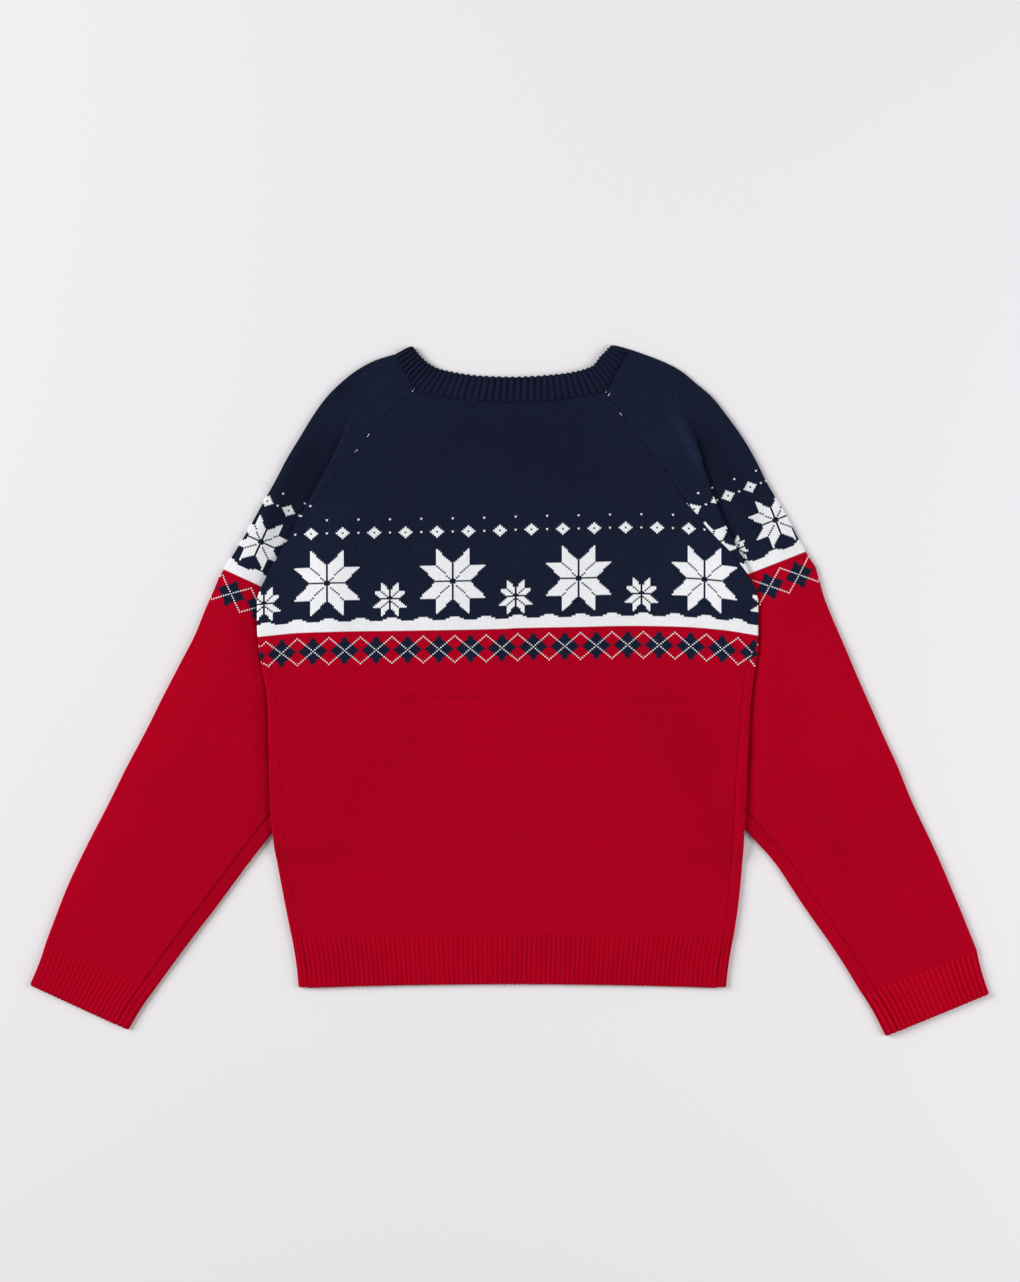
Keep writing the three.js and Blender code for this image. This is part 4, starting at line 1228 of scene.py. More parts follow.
@dataclass
class Front:
    """The hidden front panel, which the sweater lies on."""

    rows_each: int = 3
    wrap_columns: int = 22
    raised_columns: int = 6
    ramp_columns: int = 8
    middle_columns: int = 60
    lead: float = 5.0  # level stretch next to the side fold
    level: float = 4.0  # least level stretch before the panel comes down
    wrap_end: float = 9.0
    raised_end: float = 18.0
    ramp_end: float = 33.0
    crest: float = 1.1  # height of the soft ridge that the thick seam makes along the right side
    crest_place: float = 4.0  # how far in from the fold it is
    crest_width: float = 2.4

    def half(self, end: RowEnd, start: float) -> np.ndarray:
        """Half a row below the underarm, from its edge inwards."""
        fold = end.fold
        begin = fold.below_at + start - ROLL
        raised_from = max(begin, fold.below_at) + self.lead
        ramp_from = max(raised_from + self.level, fold.below_at + end.under + FRONT_REST.margin)
        wrap = columns(stretch(fold.path, begin, raised_from), self.wrap_columns)
        raised = columns(stretch(fold.path, raised_from, ramp_from), self.raised_columns)
        ramp = columns(stretch(fold.path, ramp_from, ramp_from + FRONT_REST.ramp), self.ramp_columns)
        return place(end.origin, end.way, np.vstack([wrap, raised[1:], ramp[1:]]))

    def raglan_half(self, side: Side, y: float) -> np.ndarray:
        """Half a row beside a raglan seam, flat on the surface."""
        seam = front_raglan(side, y)
        reach = np.concatenate([
            np.linspace(SEAM_GAP / 2, self.wrap_end, self.wrap_columns + 1),
            np.linspace(self.wrap_end, self.raised_end, self.raised_columns + 1)[1:],
            np.linspace(self.raised_end, self.ramp_end, self.ramp_columns + 1)[1:],
        ])
        x = seam[0] - side.value * reach
        return np.stack([x, np.full_like(x, seam[1]), np.full_like(x, FLOOR)], axis=1)

    def row(self, left: np.ndarray, right: np.ndarray, bow: float) -> np.ndarray:
        """A whole row from its two halves."""
        part = np.linspace(0, 1, self.middle_columns + 1)[1:-1, None]
        middle = left[-1] * (1 - part) + right[-1] * part
        return bowed(np.vstack([left, middle, right[::-1]]), bow)

    def points(self) -> np.ndarray:
        """Middle points of the front, neck first."""
        upper = [
            self.row(
                self.raglan_half(Side.LEFT, station.y),
                self.raglan_half(Side.RIGHT, station.y),
                bow_of(station.y, FRONT_NECK_SAG),
            )
            for station in refine(RAGLANS[Side.LEFT], self.rows_each)
        ]
        lower = [
            self.row(
                self.half(side_end(row, Side.LEFT), row.start),
                self.half(side_end(row, Side.RIGHT), row.start),
                bow_of(row.y, 0.0),
            )
            for row in refine(BODY_ROWS, 2 * self.rows_each)
        ]
        return joined(upper, lower, 2)

    def build(self, finish: Finish, shift: np.ndarray) -> None:
        """Makes the front panel."""
        points = self.points()
        knit = body_places(points) * np.array([-1.0, 1.0])
        outermost = points[..., 0].argmax(axis=1)[:, None]
        fold_x, _, fold_z = np.moveaxis(np.take_along_axis(points, outermost[..., None], axis=1), -1, 0)
        crest = np.exp(-(((fold_x - points[..., 0] - self.crest_place) / self.crest_width) ** 2))
        crest = crest * ease((points[..., 2] - fold_z) / ROLL)
        below = (points[:, :1, 1] < UNDERARM_Y).astype(float)
        sums = run_lengths(points)
        relief = below * (self.crest * crest + seam_relief(sums[:, -1:] - sums, 0.1, 0.3))
        rims = SEAM_RIM + (np.array([1.0, SHOWN_RIM]) - SEAM_RIM) * below
        cloth = Cloth(
            "front_panel", points, knit, flip=True, relief=relief,
            row_rims=(SEAM_RIM, SQUARE_RIM), column_rims=rims,
        )
        cut = Cut((0.47, 0.5), 0.194, "sleeve_left_cloth")
        cloth.build(finish, "patterned_knit", shift, "front", cut)


def front_raglan(side: Side, y: float) -> np.ndarray:
    """Place of the hidden front raglan seam at a row's height on the back."""
    part = (NECK_Y - y) / (NECK_Y - UNDERARM_Y)
    return np.array(FRONT_NECK[side]) * (1 - part) + np.array(FRONT_UNDERARM[side]) * part


@dataclass
class Sleeve:
    """One raglan sleeve, folded over at the shoulder and lying partly under the body."""

    side: Side
    creases: tuple[Crease, ...]
    wale_angle: float  # how far the wales lean outwards from straight down, in degrees
    band_place: tuple[float, float]  # a place on the white band's lower edge
    star_place: tuple[float, float]  # where one star's middle shows
    argyle_stitch: int  # middle of an argyle diamond, in stitches from the star
    fold_crest: float  # height of the soft ridge along the shoulder fold, where the cloth turns down
    shades: tuple[Shade, ...]  # painted shade and highlights, placed in plan, sized across and along the wales
    area: float
    rows_each: int = 5
    tube_rows_each: int = 8
    fold_columns: int = 40
    top_columns: int = 44
    outer_columns: int = 22
    bottom_columns: int = 16
    inner_columns: int = 14
    cloth: Cloth = field(init=False, default=None)

    def outer_fold(
        self, out: np.ndarray, way: np.ndarray, inwards: np.ndarray, top_z: float
    ) -> np.ndarray:
        """The outer fold, from the top leaf round to the bottom leaf."""
        path = np.vstack([
            straight((-OUTER_ZONE, top_z), (-ROLL - 3, TOP + (top_z - TOP) * 0.5)),
            arc(-ROLL, TOP, 0.0, 180.0),
            straight((-OUTER_ZONE, FLOOR)),
        ])
        near = columns(path, self.outer_columns)
        below = near.copy()
        below[:, 0] *= -1
        upper, lower = place(out, way, near), place(out, inwards, below)
        return np.where(near[:, 1:2] >= FLOOR + ROLL, upper, lower)

    @staticmethod
    def level(
        origin: np.ndarray, way: np.ndarray, start: float, end: float, count: int
    ) -> np.ndarray:
        """A straight stretch of the leaf that lies on the surface."""
        p = np.linspace(start, end, count + 1)
        return place(origin, way, np.stack([p, np.full_like(p, FLOOR)], axis=1))

    def raglan_row(self, station: Raglan, last: bool) -> np.ndarray:
        """One row above the underarm, from the back raglan seam round to the front one."""
        out = station.outer
        way = unit(out - station.seam)
        fold_place = station.seam + way * station.edge
        front = front_raglan(self.side, station.y)
        inwards = unit(front - out)
        width = np.linalg.norm(out - fold_place)
        fold = shoulder_fold(station, min(FOLD_RUN, width - OUTER_ZONE - LEAST_RUN))
        start = fold.fold_at - station.edge + SEAM_GAP / 2 + (1.0 if last else 0.0)
        folded = columns(stretch(fold.path, start, fold.below_at), self.fold_columns)
        p = np.linspace(folded[-1, 0], width - OUTER_ZONE, self.top_columns + 1)[1:]
        height = SLEEVE_SWELL * station.turn / 180
        z = TOP + swell(p, width - p, height, SHOULDER_RISE)
        come_out = (lengths(folded) > fold.fold_at - start) & (folded[:, 0] > 0)
        folded[:, 1] += come_out * swell(folded[:, 0], width - folded[:, 0], height, SHOULDER_RISE)
        top = place(fold_place, way, np.stack([p, z], axis=1))
        reach = np.linalg.norm(out - front) - SEAM_GAP / 2
        return np.vstack([
            place(fold_place, way, folded),
            top,
            self.outer_fold(out, way, inwards, top[-1, 2])[1:],
            self.level(out, inwards, OUTER_ZONE, reach - INNER_ZONE, self.bottom_columns)[1:],
            self.level(out, inwards, reach - INNER_ZONE, reach, self.inner_columns)[1:],
        ])

    def tube_row(self, station: Tube) -> np.ndarray:
        """One row below the underarm, from the sleeve's seam round to the seam."""
        inner, out = station.inner, station.outer
        way = unit(out - inner)
        width = np.linalg.norm(out - inner)
        cuff = TUBES[self.side][-1]
        to_cuff = math.hypot(station.in_x - cuff.in_x, station.in_y - cuff.in_y)
        covered = FREE_SWELL + (1 - FREE_SWELL) * min(1.0, station.cover / FULL_COVER)
        share = covered * float(ease(to_cuff / CUFF_FADE))

        def height(p: Any) -> Any:
            """Height of the top leaf."""
            return TOP + swell(p - station.cover, width - p, SLEEVE_SWELL * share)

        begin = SEAM_INSET + SEAM_GAP / 2
        count = self.fold_columns + self.top_columns
        p = begin + (width - OUTER_ZONE - begin) * np.linspace(0, 1, count + 1) ** 1.25
        top = place(inner, way, np.stack([p, height(p)], axis=1))
        end = SEAM_INSET - SEAM_GAP / 2
        path = np.vstack([
            straight((-INNER_ZONE, FLOOR)),
            arc(-ROLL, FLOOR, 0.0, -180.0),
            straight((-end, float(height(end)))),
        ])
        return np.vstack([
            top,
            self.outer_fold(out, way, -way, top[-1, 2])[1:],
            self.level(out, -way, OUTER_ZONE, width - INNER_ZONE, self.bottom_columns)[1:],
            place(inner, -way, columns(path, self.inner_columns))[1:],
        ])

    def points(self) -> np.ndarray:
        """Middle points of the sleeve, neck first."""
        stations = refine(RAGLANS[self.side], self.rows_each)
        upper = [self.raglan_row(station, k == len(stations) - 1) for k, station in enumerate(stations)]
        lower = [self.tube_row(station) for station in refine(TUBES[self.side], self.tube_rows_each)]
        return joined(upper, lower, 2)

    def knit_places(self, points: np.ndarray) -> np.ndarray:
        """Flat places of the points: across from the outer fold, along from the white band."""
        lean = math.radians(self.wale_angle) * self.side.value
        up = np.array([-math.sin(lean), math.cos(lean)])
        across = np.array([math.cos(lean), math.sin(lean)]) * self.side.value
        fold_column = self.fold_columns + self.top_columns + self.outer_columns // 2
        flat = unrolled(points, fold_column, across)
        along = (points[..., :2] - np.array(self.band_place)) @ up
        return np.stack([flat * self.side.value, along], axis=-1)

    def build(self, finish: Finish, shift: np.ndarray) -> None:
        """Makes the sleeve."""
        points = self.points()
        knit = self.knit_places(points)
        sums = run_lengths(points)
        shown = raised(points)
        relief = seam_relief(sums) + seam_relief(sums[:, -1:] - sums, ridge=0.25) * shown
        small = crease_relief(points, self.creases) + soft_unevenness(points, 0.2, 5 + self.side.value)
        relief += small * shown
        for k, station in enumerate(refine(RAGLANS[self.side], self.rows_each)):
            soft = float(ease((station.turn - CREST_TURN) / (2 * CREST_TURN))) * self.fold_crest
            relief[k] += soft * np.exp(-(((sums[k] - station.edge + CREST_PLACE) / CREST_WIDTH) ** 2))
        name = f"sleeve_{self.side.word}_cloth"
        self.cloth = Cloth(
            name, points, knit, flip=self.side is Side.LEFT, relief=relief,
            row_rims=(SQUARE_RIM, SQUARE_RIM), column_rims=SHOWN_RIM,
        )
        cut = Cut((0.42, 0.62), self.area, "table", "folded")
        self.cloth.build(finish, "patterned_knit", shift, f"sleeve_{self.side.word}", cut)


def rib_height(half_steps: np.ndarray) -> np.ndarray:
    """Rounded rib crests at the odd half steps, furrows at the even ones."""
    return (0.5 - 0.5 * np.cos(np.pi * half_steps)) ** 0.75


class Block(NamedTuple):
    """A stretch of a ribbed section: its path, whether it has ribs, and its half pitches or columns."""

    path: np.ndarray
    ribs: bool
    count: int


FINE = 4  # columns for each half pitch of a rib
RIB_UNEVEN = 0.15  # share by which the ribs' height varies
RIB_START = 0.4  # share of their height in the first row
RIB_RISE_ROWS = 3  # rows over which they reach it


def ribbed_section(blocks: Sequence[Block]) -> tuple[np.ndarray, np.ndarray, np.ndarray]:
    """Columns of a section of several blocks.

    Args:
        blocks: the stretches, in order.

    Returns:
        The (p, z) points, the height of the rib at each, and its place across the flat rib.
    """
    points, ribs, steps = [], [], []
    step = 0.0
    for k, block in enumerate(blocks):
        count = block.count * FINE
        run = columns(block.path, count)
        half_steps = np.linspace(0, block.count, count + 1)
        skip = 1 if k else 0
        points.append(run[skip:, :2])
        ribs.append((rib_height(half_steps) if block.ribs else np.zeros(count + 1))[skip:])
        plain = round(float(lengths(block.path)[-1]) / RIB_PITCH)
        pitches = block.count / 2 if block.ribs else max(1, plain)
        steps.append((step + half_steps / block.count * pitches)[skip:])
        step += pitches
    return np.vstack(points), np.concatenate(ribs), np.concatenate(steps)


def rib_steps(length: float, pitch: float = RIB_PITCH) -> int:
    """An even number of half pitches, so that a ribbed stretch ends in furrows."""
    return 2 * max(1, round(length / pitch))


def rib_places(steps: np.ndarray, along: np.ndarray) -> np.ndarray:
    """Knit coordinates of a ribbed grid, from the ribs counted across it."""
    return np.stack([np.broadcast_to(steps * RIB_PITCH, along.shape), along], axis=-1)


def uneven_ribs(rib: np.ndarray, points: np.ndarray, wave_x: float, wave_y: float) -> np.ndarray:
    """Ribs of slightly uneven height that are lower in the first rows."""
    wave = np.sin(points[..., 0] / wave_x + points[..., 1] / wave_y)
    first_rows = np.minimum(np.arange(len(points)), RIB_RISE_ROWS)[:, None] / RIB_RISE_ROWS
    return rib * (1 - RIB_UNEVEN + RIB_UNEVEN * wave) * (RIB_START + (1 - RIB_START) * first_rows)


@dataclass
class HemRib:
    """The ribbed hem, in a back piece on top and a front piece below that wraps round the sides."""

    rows: int = 22
    curl: float = 0.5  # how far the free edge curls up
    pull: float = 0.8  # how far its sides are drawn in between its ends
    rise: float = 0.35  # how much higher it is there
    scallop: float = 0.5  # how far each rib stands out at the free edge
    sway: float = 0.5  # how far the ribs stray sideways
    back: Cloth = field(init=False, default=None)

    def widths(self, part: float) -> BodyRow:
        """Side folds of the hem at a part of its height, drawn in a little between its ends."""
        top, bottom = np.array(BODY_ROWS[-1], float), np.array(HEM_ROW, float)
        row = BodyRow(*(top * (1 - part) + bottom * part))
        pull = self.pull * math.sin(math.pi * part)
        y = (HEM_SEAM_Y - JOINT) * (1 - part) + HEM_ROW.y * part
        return row._replace(left=row.left + pull, right=row.right - pull, y=y)

    def height(self, part: float) -> float:
        """Height of the rib's top leaf off its even place."""
        return self.rise * math.sin(math.pi * part) + self.curl * float(ease((part - 0.9) / 0.1))

    def build_back(self, finish: Finish, shift: np.ndarray) -> None:
        """Makes the back piece."""
        count = rib_steps(HEM_ROW.right - HEM_ROW.left)
        part_across, rib, steps = ribbed_section([Block(straight((0, 0), (1, 0)), True, count)])
        p = part_across[:, 0]
        rows = []
        for part in np.linspace(0, 1, self.rows):
            row = self.widths(part)
            start, end = row.left + row.inset + JOINT / 2, row.right - row.inset - JOINT / 2
            x = start + (end - start) * p
            sway = self.sway * math.sin(3 * part) * np.sin(x / 37.0)
            y = row.y + HEM_BOW * 4 * p * (1 - p) - self.scallop * rib * part**4
            rows.append(np.stack([x + sway, y, np.full_like(x, TOP + self.height(part))], axis=1))
        points = np.array(rows)
        knit = rib_places(steps, points[..., 1] - HEM_ROW.y)
        ribs = uneven_ribs(rib, points, 23.0, 31.0)
        relief = soft_unevenness(points, 0.2, 31, 90.0)
        self.back = Cloth(
            "hem_rib_back_cloth", points, knit, rib=ribs, rib_rise=0.7, relief=relief, wall=RIB_WALL,
            row_rims=(1.0, 0.6), column_rims=0.9,
        )
        cut = Cut((0.405, 0.05), 0.0193, "hem_rib_front_cloth")
        self.back.build(finish, "red_rib", shift, "hem_rib_back", cut)

    def build_front(self, finish: Finish, shift: np.ndarray) -> None:
        """Makes the front piece, whose ends wrap round the sides."""
        rows, ribs, steps = [], None, None
        for part in np.linspace(0, 1, self.rows):
            row = self.widths(part)
            middle = (row.right - row.left) / 2
            rise = self.height(part)
            points, rib, place_across = ribbed_section([
                Block(straight((-row.inset + JOINT / 2, TOP + rise), (-ROLL, TOP + rise)), True, 4),
                Block(arc(-ROLL, TOP, 0.0, 180.0), False, 3),
                Block(straight((-ROLL, FLOOR), (-middle, FLOOR)), False, 12),
            ])
            x = np.concatenate([row.left - points[:, 0], (row.right + points[:, 0])[-2::-1]])
            z = np.concatenate([points[:, 1], points[-2::-1, 1]])
            across = (x - row.left) / (row.right - row.left)
            rows.append(np.stack([x, row.y + HEM_BOW * 4 * across * (1 - across), z], axis=1))
            ribs = np.concatenate([rib, rib[-2::-1]])
            steps = np.concatenate([place_across, 2 * place_across[-1] - place_across[-2::-1]])
        grid = np.array(rows)
        knit = rib_places(steps, grid[..., 1] - HEM_ROW.y)
        rib_grid = np.broadcast_to(ribs, grid.shape[:2])
        cloth = Cloth(
            "hem_rib_front_cloth", grid, knit, flip=True, rib=rib_grid, wall=RIB_WALL,
            row_rims=(1.0, 0.6), column_rims=0.9,
        )
        cut = Cut((0.435, 0.05), 0.0205, "table")
        cloth.build(finish, "red_rib", shift, "hem_rib_front", cut)


@dataclass
class Cuff:
    """One ribbed cuff, a flat tube at the sleeve's end."""

    side: Side
    rib_rise: float
    pitch: float
    rows: int = 20
    curl: float = 0.45  # how far the free edge curls up
    pull: float = 1.0  # how far its sides are drawn in between its ends
    rise: float = 0.5  # how much higher it is there
    scallop: float = 0.5  # how far each rib stands out at the free edge
    top_columns: int = field(init=False, default=0)
    cloth: Cloth = field(init=False, default=None)

    def build(self, finish: Finish, shift: np.ndarray) -> None:
        """Makes the cuff."""
        above, end = TUBES[self.side][-1], CUFF_ENDS[self.side]
        down = unit(end.inner - above.inner) * JOINT
        outwards = unit(end.inner + end.outer - above.inner - above.outer)
        count = rib_steps(np.linalg.norm(above.outer - above.inner) - SEAM_INSET, self.pitch)
        self.top_columns = count * FINE
        rows = []
        for part in np.linspace(0, 1, self.rows):
            inner = (above.inner + down) * (1 - part) + end.inner * part
            out = (above.outer + down) * (1 - part) + end.outer * part
            way = unit(out - inner)
            pull = self.pull * math.sin(math.pi * part)
            width = np.linalg.norm(out - inner) - 2 * pull
            rise = self.rise * math.sin(math.pi * part) + self.curl * float(ease((part - 0.88) / 0.12))
            begin, last = SEAM_INSET + SEAM_GAP / 2, SEAM_INSET - SEAM_GAP / 2
            inner_arc = arc(-ROLL, FLOOR, 0.0, -180.0)
            inner_arc[:, 0] *= -1
            points, rib, steps = ribbed_section([
                Block(straight((begin, TOP + rise), (width - ROLL, TOP + rise)), True, count),
                Block(arc(width - ROLL, TOP, 0.0, 180.0), False, 3),
                Block(straight((width - ROLL, FLOOR), (ROLL, FLOOR)), False, 6),
                Block(inner_arc, False, 3),
                Block(straight((ROLL, TOP), (last, TOP + rise)), True, 4),
            ])
            row = place(inner + way * pull, way, points)
            row[:, :2] += outwards * (self.scallop * rib * part**4)[:, None]
            rows.append(row)
        grid = np.array(rows)
        from_top = grid[..., :2] - (above.inner + above.outer) / 2
        knit = rib_places(steps, -from_top @ outwards)
        relief = soft_unevenness(grid, 0.25, 41 + self.side.value, 50.0) * raised(grid)
        self.cloth = Cloth(
            f"cuff_{self.side.word}_cloth", grid, knit, flip=self.side is Side.LEFT,
            rib=uneven_ribs(rib, grid, 17.0, 23.0), rib_rise=self.rib_rise, relief=relief, wall=RIB_WALL,
            row_rims=(1.0, 0.6), column_rims=0.85,
        )
        cut = Cut((0.215, 0.044), 0.0089, "table")
        self.cloth.build(finish, "red_rib", shift, f"cuff_{self.side.word}", cut)


@dataclass
class Neckband:
    """The ribbed neckband, one ring with its back arc on top and its front arc below."""

    side_steps: int = 16
    middle_steps: int = 54
    rows: int = 14
    front_side: int = 12
    front_middle: int = 36
    scallop: float = 1.3  # how far each rib stands out at the free edge
    crowding: float = 0.27  # how much closer together the ribs are at the shoulders
    rise: float = 0.9  # how much higher the band is between its edges
    rib_uneven: float = 0.12  # share by which the ribs' height varies
    rib_start: float = 0.3  # share of their height in the row at the seam
    cloth: Cloth = field(init=False, default=None)
    back_columns: int = field(init=False, default=0)

    def seam_line(self, back: bool, side_count: int, middle_count: int) -> np.ndarray:
        """Line of the neck seam from the left tip to the right tip."""
        left, right = RAGLANS[Side.LEFT][0], RAGLANS[Side.RIGHT][0]
        low_left = left.seam if back else np.array(FRONT_NECK[Side.LEFT])
        low_right = right.seam if back else np.array(FRONT_NECK[Side.RIGHT])
        sag = BACK_NECK_SAG if back else FRONT_NECK_SAG - 0.6
        t_side = np.linspace(0, 1, side_count + 1)[:, None]
        t = np.linspace(0, 1, middle_count + 1)[:, None]
        first = left.outer * (1 - t_side) + low_left * t_side
        middle = low_left * (1 - t) + low_right * t - np.array([0.0, 4.0]) * sag * t * (1 - t)
        last = low_right * (1 - t_side) + right.outer * t_side
        return np.vstack([first, middle[1:], last[1:]])

    def build(self, finish: Finish, shift: np.ndarray) -> None:
        """Makes the neckband."""
        left, right = RAGLANS[Side.LEFT][0], RAGLANS[Side.RIGHT][0]
        half_steps = 2 * self.side_steps + self.middle_steps
        seam_back = self.seam_line(True, self.side_steps * FINE, self.middle_steps * FINE)
        free_back = smooth_edge(BACK_FREE_EDGE, half_steps * FINE, self.crowding)
        seam_front = self.seam_line(False, self.front_side, self.front_middle)[::-1]
        free_front = smooth_edge(FRONT_FREE_EDGE, 2 * self.front_side + self.front_middle)[::-1]
        way_left, way_right = unit(left.outer - left.seam), unit(right.outer - right.seam)
        angle = np.radians(np.linspace(0, 180, 9)[1:-1])
        bulge = ROLL * np.sin(angle)[:, None]

        def ring(back: np.ndarray, front: np.ndarray) -> np.ndarray:
            """One edge of the band all round: the back, the right tip, the front and the left tip."""
            for k, way in ((0, way_left), (-1, way_right)):
                back[k] -= way * ROLL
                front[-1 - k] -= way * ROLL
            left_tip = back[0] + way_left * bulge
            return np.vstack([back, back[-1] + way_right * bulge, front, left_tip[::-1]])

        seam, free = ring(seam_back, seam_front), ring(free_back, free_front)
        round_z = FLOOR + ROLL + ROLL * np.cos(angle)
        z = np.concatenate([
            np.full(len(seam_back), TOP), round_z, np.full(len(seam_front), FLOOR), round_z[::-1]
        ])
        seam = seam + SEAM_GAP * (free - seam) / np.linalg.norm(free - seam, axis=1, keepdims=True)
        reach = np.linalg.norm(free - seam, axis=1, keepdims=True)
        outwards = (free - seam) / reach
        self.back_columns = len(seam_back)
        rib = np.zeros(len(seam))
        rib[: self.back_columns] = rib_height(np.arange(self.back_columns) / FINE)
        step = np.arange(len(seam)) / (2 * FINE)
        run = np.cumsum(np.linalg.norm(np.diff(seam, axis=0), axis=1)) / RIB_PITCH
        last = self.back_columns - 1
        step[last + 1 :] = step[last] + run[last:] - run[last - 1]
        shown = (z > FLOOR + ROLL).astype(float)
        rows = []
        for part in np.linspace(0, 1, self.rows):
            plan = free * (1 - part) + seam * part
            plan = plan + outwards * (self.scallop * rib * (1 - part) ** 5)[:, None]
            rise = shown * (self.rise * math.sin(math.pi * min(1.0, part * 1.1)) ** 0.8)
            rows.append(np.hstack([plan, (z + rise)[:, None]]))
        points = np.array(rows)
        knit = rib_places(step, reach.T * (1 - np.linspace(0, 1, self.rows)[:, None]))
        rows_in = np.minimum(np.arange(self.rows)[::-1], 2)[:, None] / 2
        uneven = 1 - self.rib_uneven + self.rib_uneven * np.sin(points[..., 0] / 9.0)
        ribs = rib[None, :] * (self.rib_start + (1 - self.rib_start) * rows_in) * uneven
        self.cloth = Cloth(
            "neckband_cloth", points, knit, ring=True, rib=ribs, rib_rise=1.2, wall=RIB_WALL,
            row_rims=(SEAM_RIM, SQUARE_RIM),
        )
        cut = Cut((0.52, 0.025), 0.0118, "back_panel")
        self.cloth.build(finish, "navy_rib", shift, "neckband", cut)


# Rows of stitches

FLOAT_SPECKS = [  # where the light yarn shows beside the raglan seams, and which way it runs
    (-92.0, 284.2, 1.0, 1.6),
    (-146.2, 226.6, 1.6, 1.4),
    (-134.6, 241.2, 1.2, 1.8),
    (91.6, 283.6, 0.4, 2.8),
    (94.2, 280.4, 1.0, 1.6),
    (105.0, 263.4, 1.4, -1.4),
    (168.6, 177.2, 1.2, -1.8),
]


@dataclass
class StitchRow:
    """Stitches of yarn along a path, made by one Geometry Nodes tree."""

    spacing: float  # from one stitch to the next, in millimetres
    length: float
    width: float
    height: float
    turn: float = 0.0  # angle of each stitch to the path, in degrees
    jitter: float = 0.15
    seed: int = 1

    @staticmethod
    def tree() -> bpy.types.NodeTree:
        """The node tree that lays stitches along a path, made once."""
        known = bpy.data.node_groups.get("stitches_along_path")
        if known is not None:
            return known
        group = bpy.data.node_groups.new("stitches_along_path", "GeometryNodeTree")
        sizes = dict.fromkeys(("Spacing", "Length", "Width", "Height", "Turn", "Jitter"), "Float")
        for name, kind in {"Geometry": "Geometry", **sizes, "Seed": "Int", "Yarn": "Material"}.items():
            group.interface.new_socket(name, in_out="INPUT", socket_type=f"NodeSocket{kind}")
        group.interface.new_socket("Geometry", in_out="OUTPUT", socket_type="NodeSocketGeometry")
        tree = Tree(group)
        given = tree.node("NodeGroupInput").outputs

        def add(kind: str, sockets: dict[Any, Any], output: int = 0, **settings: Any) -> Any:
            """Adds a node and gives one of its outputs."""
            return tree.node(kind, settings, sockets).outputs[output]

        line = add("GeometryNodeMeshToCurve", {0: given["Geometry"]})
        points = add("GeometryNodeResampleCurve", {0: line, "Length": given["Spacing"]}, mode="LENGTH")
        tangent = add("GeometryNodeInputTangent", {})
        along = add("FunctionNodeAlignRotationToVector", {"Vector": tangent}, axis="X", pivot_axis="Z")
        either_way = {2: -1.0, 3: 1.0, "Seed": given["Seed"]}
        wobble = add("FunctionNodeRandomValue", either_way, 1, data_type="FLOAT")
        turn = {0: wobble, 1: given["Jitter"], 2: given["Turn"]}
        euler = add("ShaderNodeCombineXYZ", {2: add("ShaderNodeMath", turn, operation="MULTIPLY_ADD")})
        turned = add("FunctionNodeEulerToRotation", {0: euler})
        rotation = add("FunctionNodeRotateRotation", {0: along, 1: turned}, rotation_space="LOCAL")
        ball = add("GeometryNodeMeshUVSphere", {"Segments": 8, "Rings": 5, "Radius": 0.5})
        size = add("ShaderNodeCombineXYZ", {0: given["Length"], 1: given["Width"], 2: given["Height"]})
        stitch = {"Points": points, "Instance": ball, "Rotation": rotation, "Scale": size}
        laid = add("GeometryNodeInstanceOnPoints", stitch)
        plain = add("GeometryNodeRealizeInstances", {0: laid})
        painted = add("GeometryNodeSetMaterial", {0: plain, "Material": given["Yarn"]})
        tree.node("NodeGroupOutput", {}, {0: painted})
        return group

    def build(self, name: str, paths: Sequence[np.ndarray], finish: Finish, slot: str) -> None:
        """Lays the stitches along paths and turns them into one plain mesh.

        Args:
            name: the new piece's name.
            paths: lines of points in the frame's millimetres.
            finish: the yarn.
            slot: the record's material slot; not used.
        """
        vertices, edges = [], []
        for path in paths:
            start = len(vertices)
            vertices += (path * MM).tolist()
            edges += [(start + k, start + k + 1) for k in range(len(path) - 1)]
        line = bpy.data.meshes.new(name + "_path")
        line.from_pydata(vertices, edges, [])
        guide = linked(name + "_path", line)
        group = self.tree()
        modifier = guide.modifiers.new("stitches", "NODES")
        modifier.node_group = group
        sizes = {
            "Spacing": self.spacing * MM,
            "Length": self.length * MM,
            "Width": self.width * MM,
            "Height": self.height * MM,
            "Turn": math.radians(self.turn),
            "Jitter": self.jitter,
            "Seed": self.seed,
            "Yarn": finish.material(),
        }
        for socket in group.interface.items_tree:
            if socket.item_type == "SOCKET" and socket.in_out == "INPUT" and socket.name in sizes:
                modifier[socket.identifier] = sizes[socket.name]
        graph = bpy.context.evaluated_depsgraph_get()
        mesh = bpy.data.meshes.new_from_object(guide.evaluated_get(graph))
        guide.modifiers.remove(modifier)
        bpy.data.objects.remove(guide)
        show(name, mesh)


def nearest(grid: np.ndarray, x: float, y: float, from_above: Any = 0.0) -> tuple[int, ...]:
    """Index of the grid's point nearest to a place in plan, its distances changed by an amount."""
    far = np.hypot(grid[..., 0] - x, grid[..., 1] - y) + from_above
    return np.unravel_index(int(np.argmin(far)), far.shape)


def between(first: np.ndarray, second: np.ndarray, rise: float) -> np.ndarray:
    """Line midway between two edges of as many points, raised a little."""
    line = (first + second) / 2
    line[:, 2] = np.minimum(first[:, 2], second[:, 2]) + rise
    return line


RAGLAN_SHOWN = {Side.LEFT: 9, Side.RIGHT: 12}  # stations down to which a raglan seam shows
SUNK = 0.25  # how deep the stitches of the raglans and of the body's side lie in their seams
SLEEVE_SUNK = 0.35  # the same of the sleeves' seams
JOINING_SUNK = 0.15  # and of those between a rib and the cloth above it
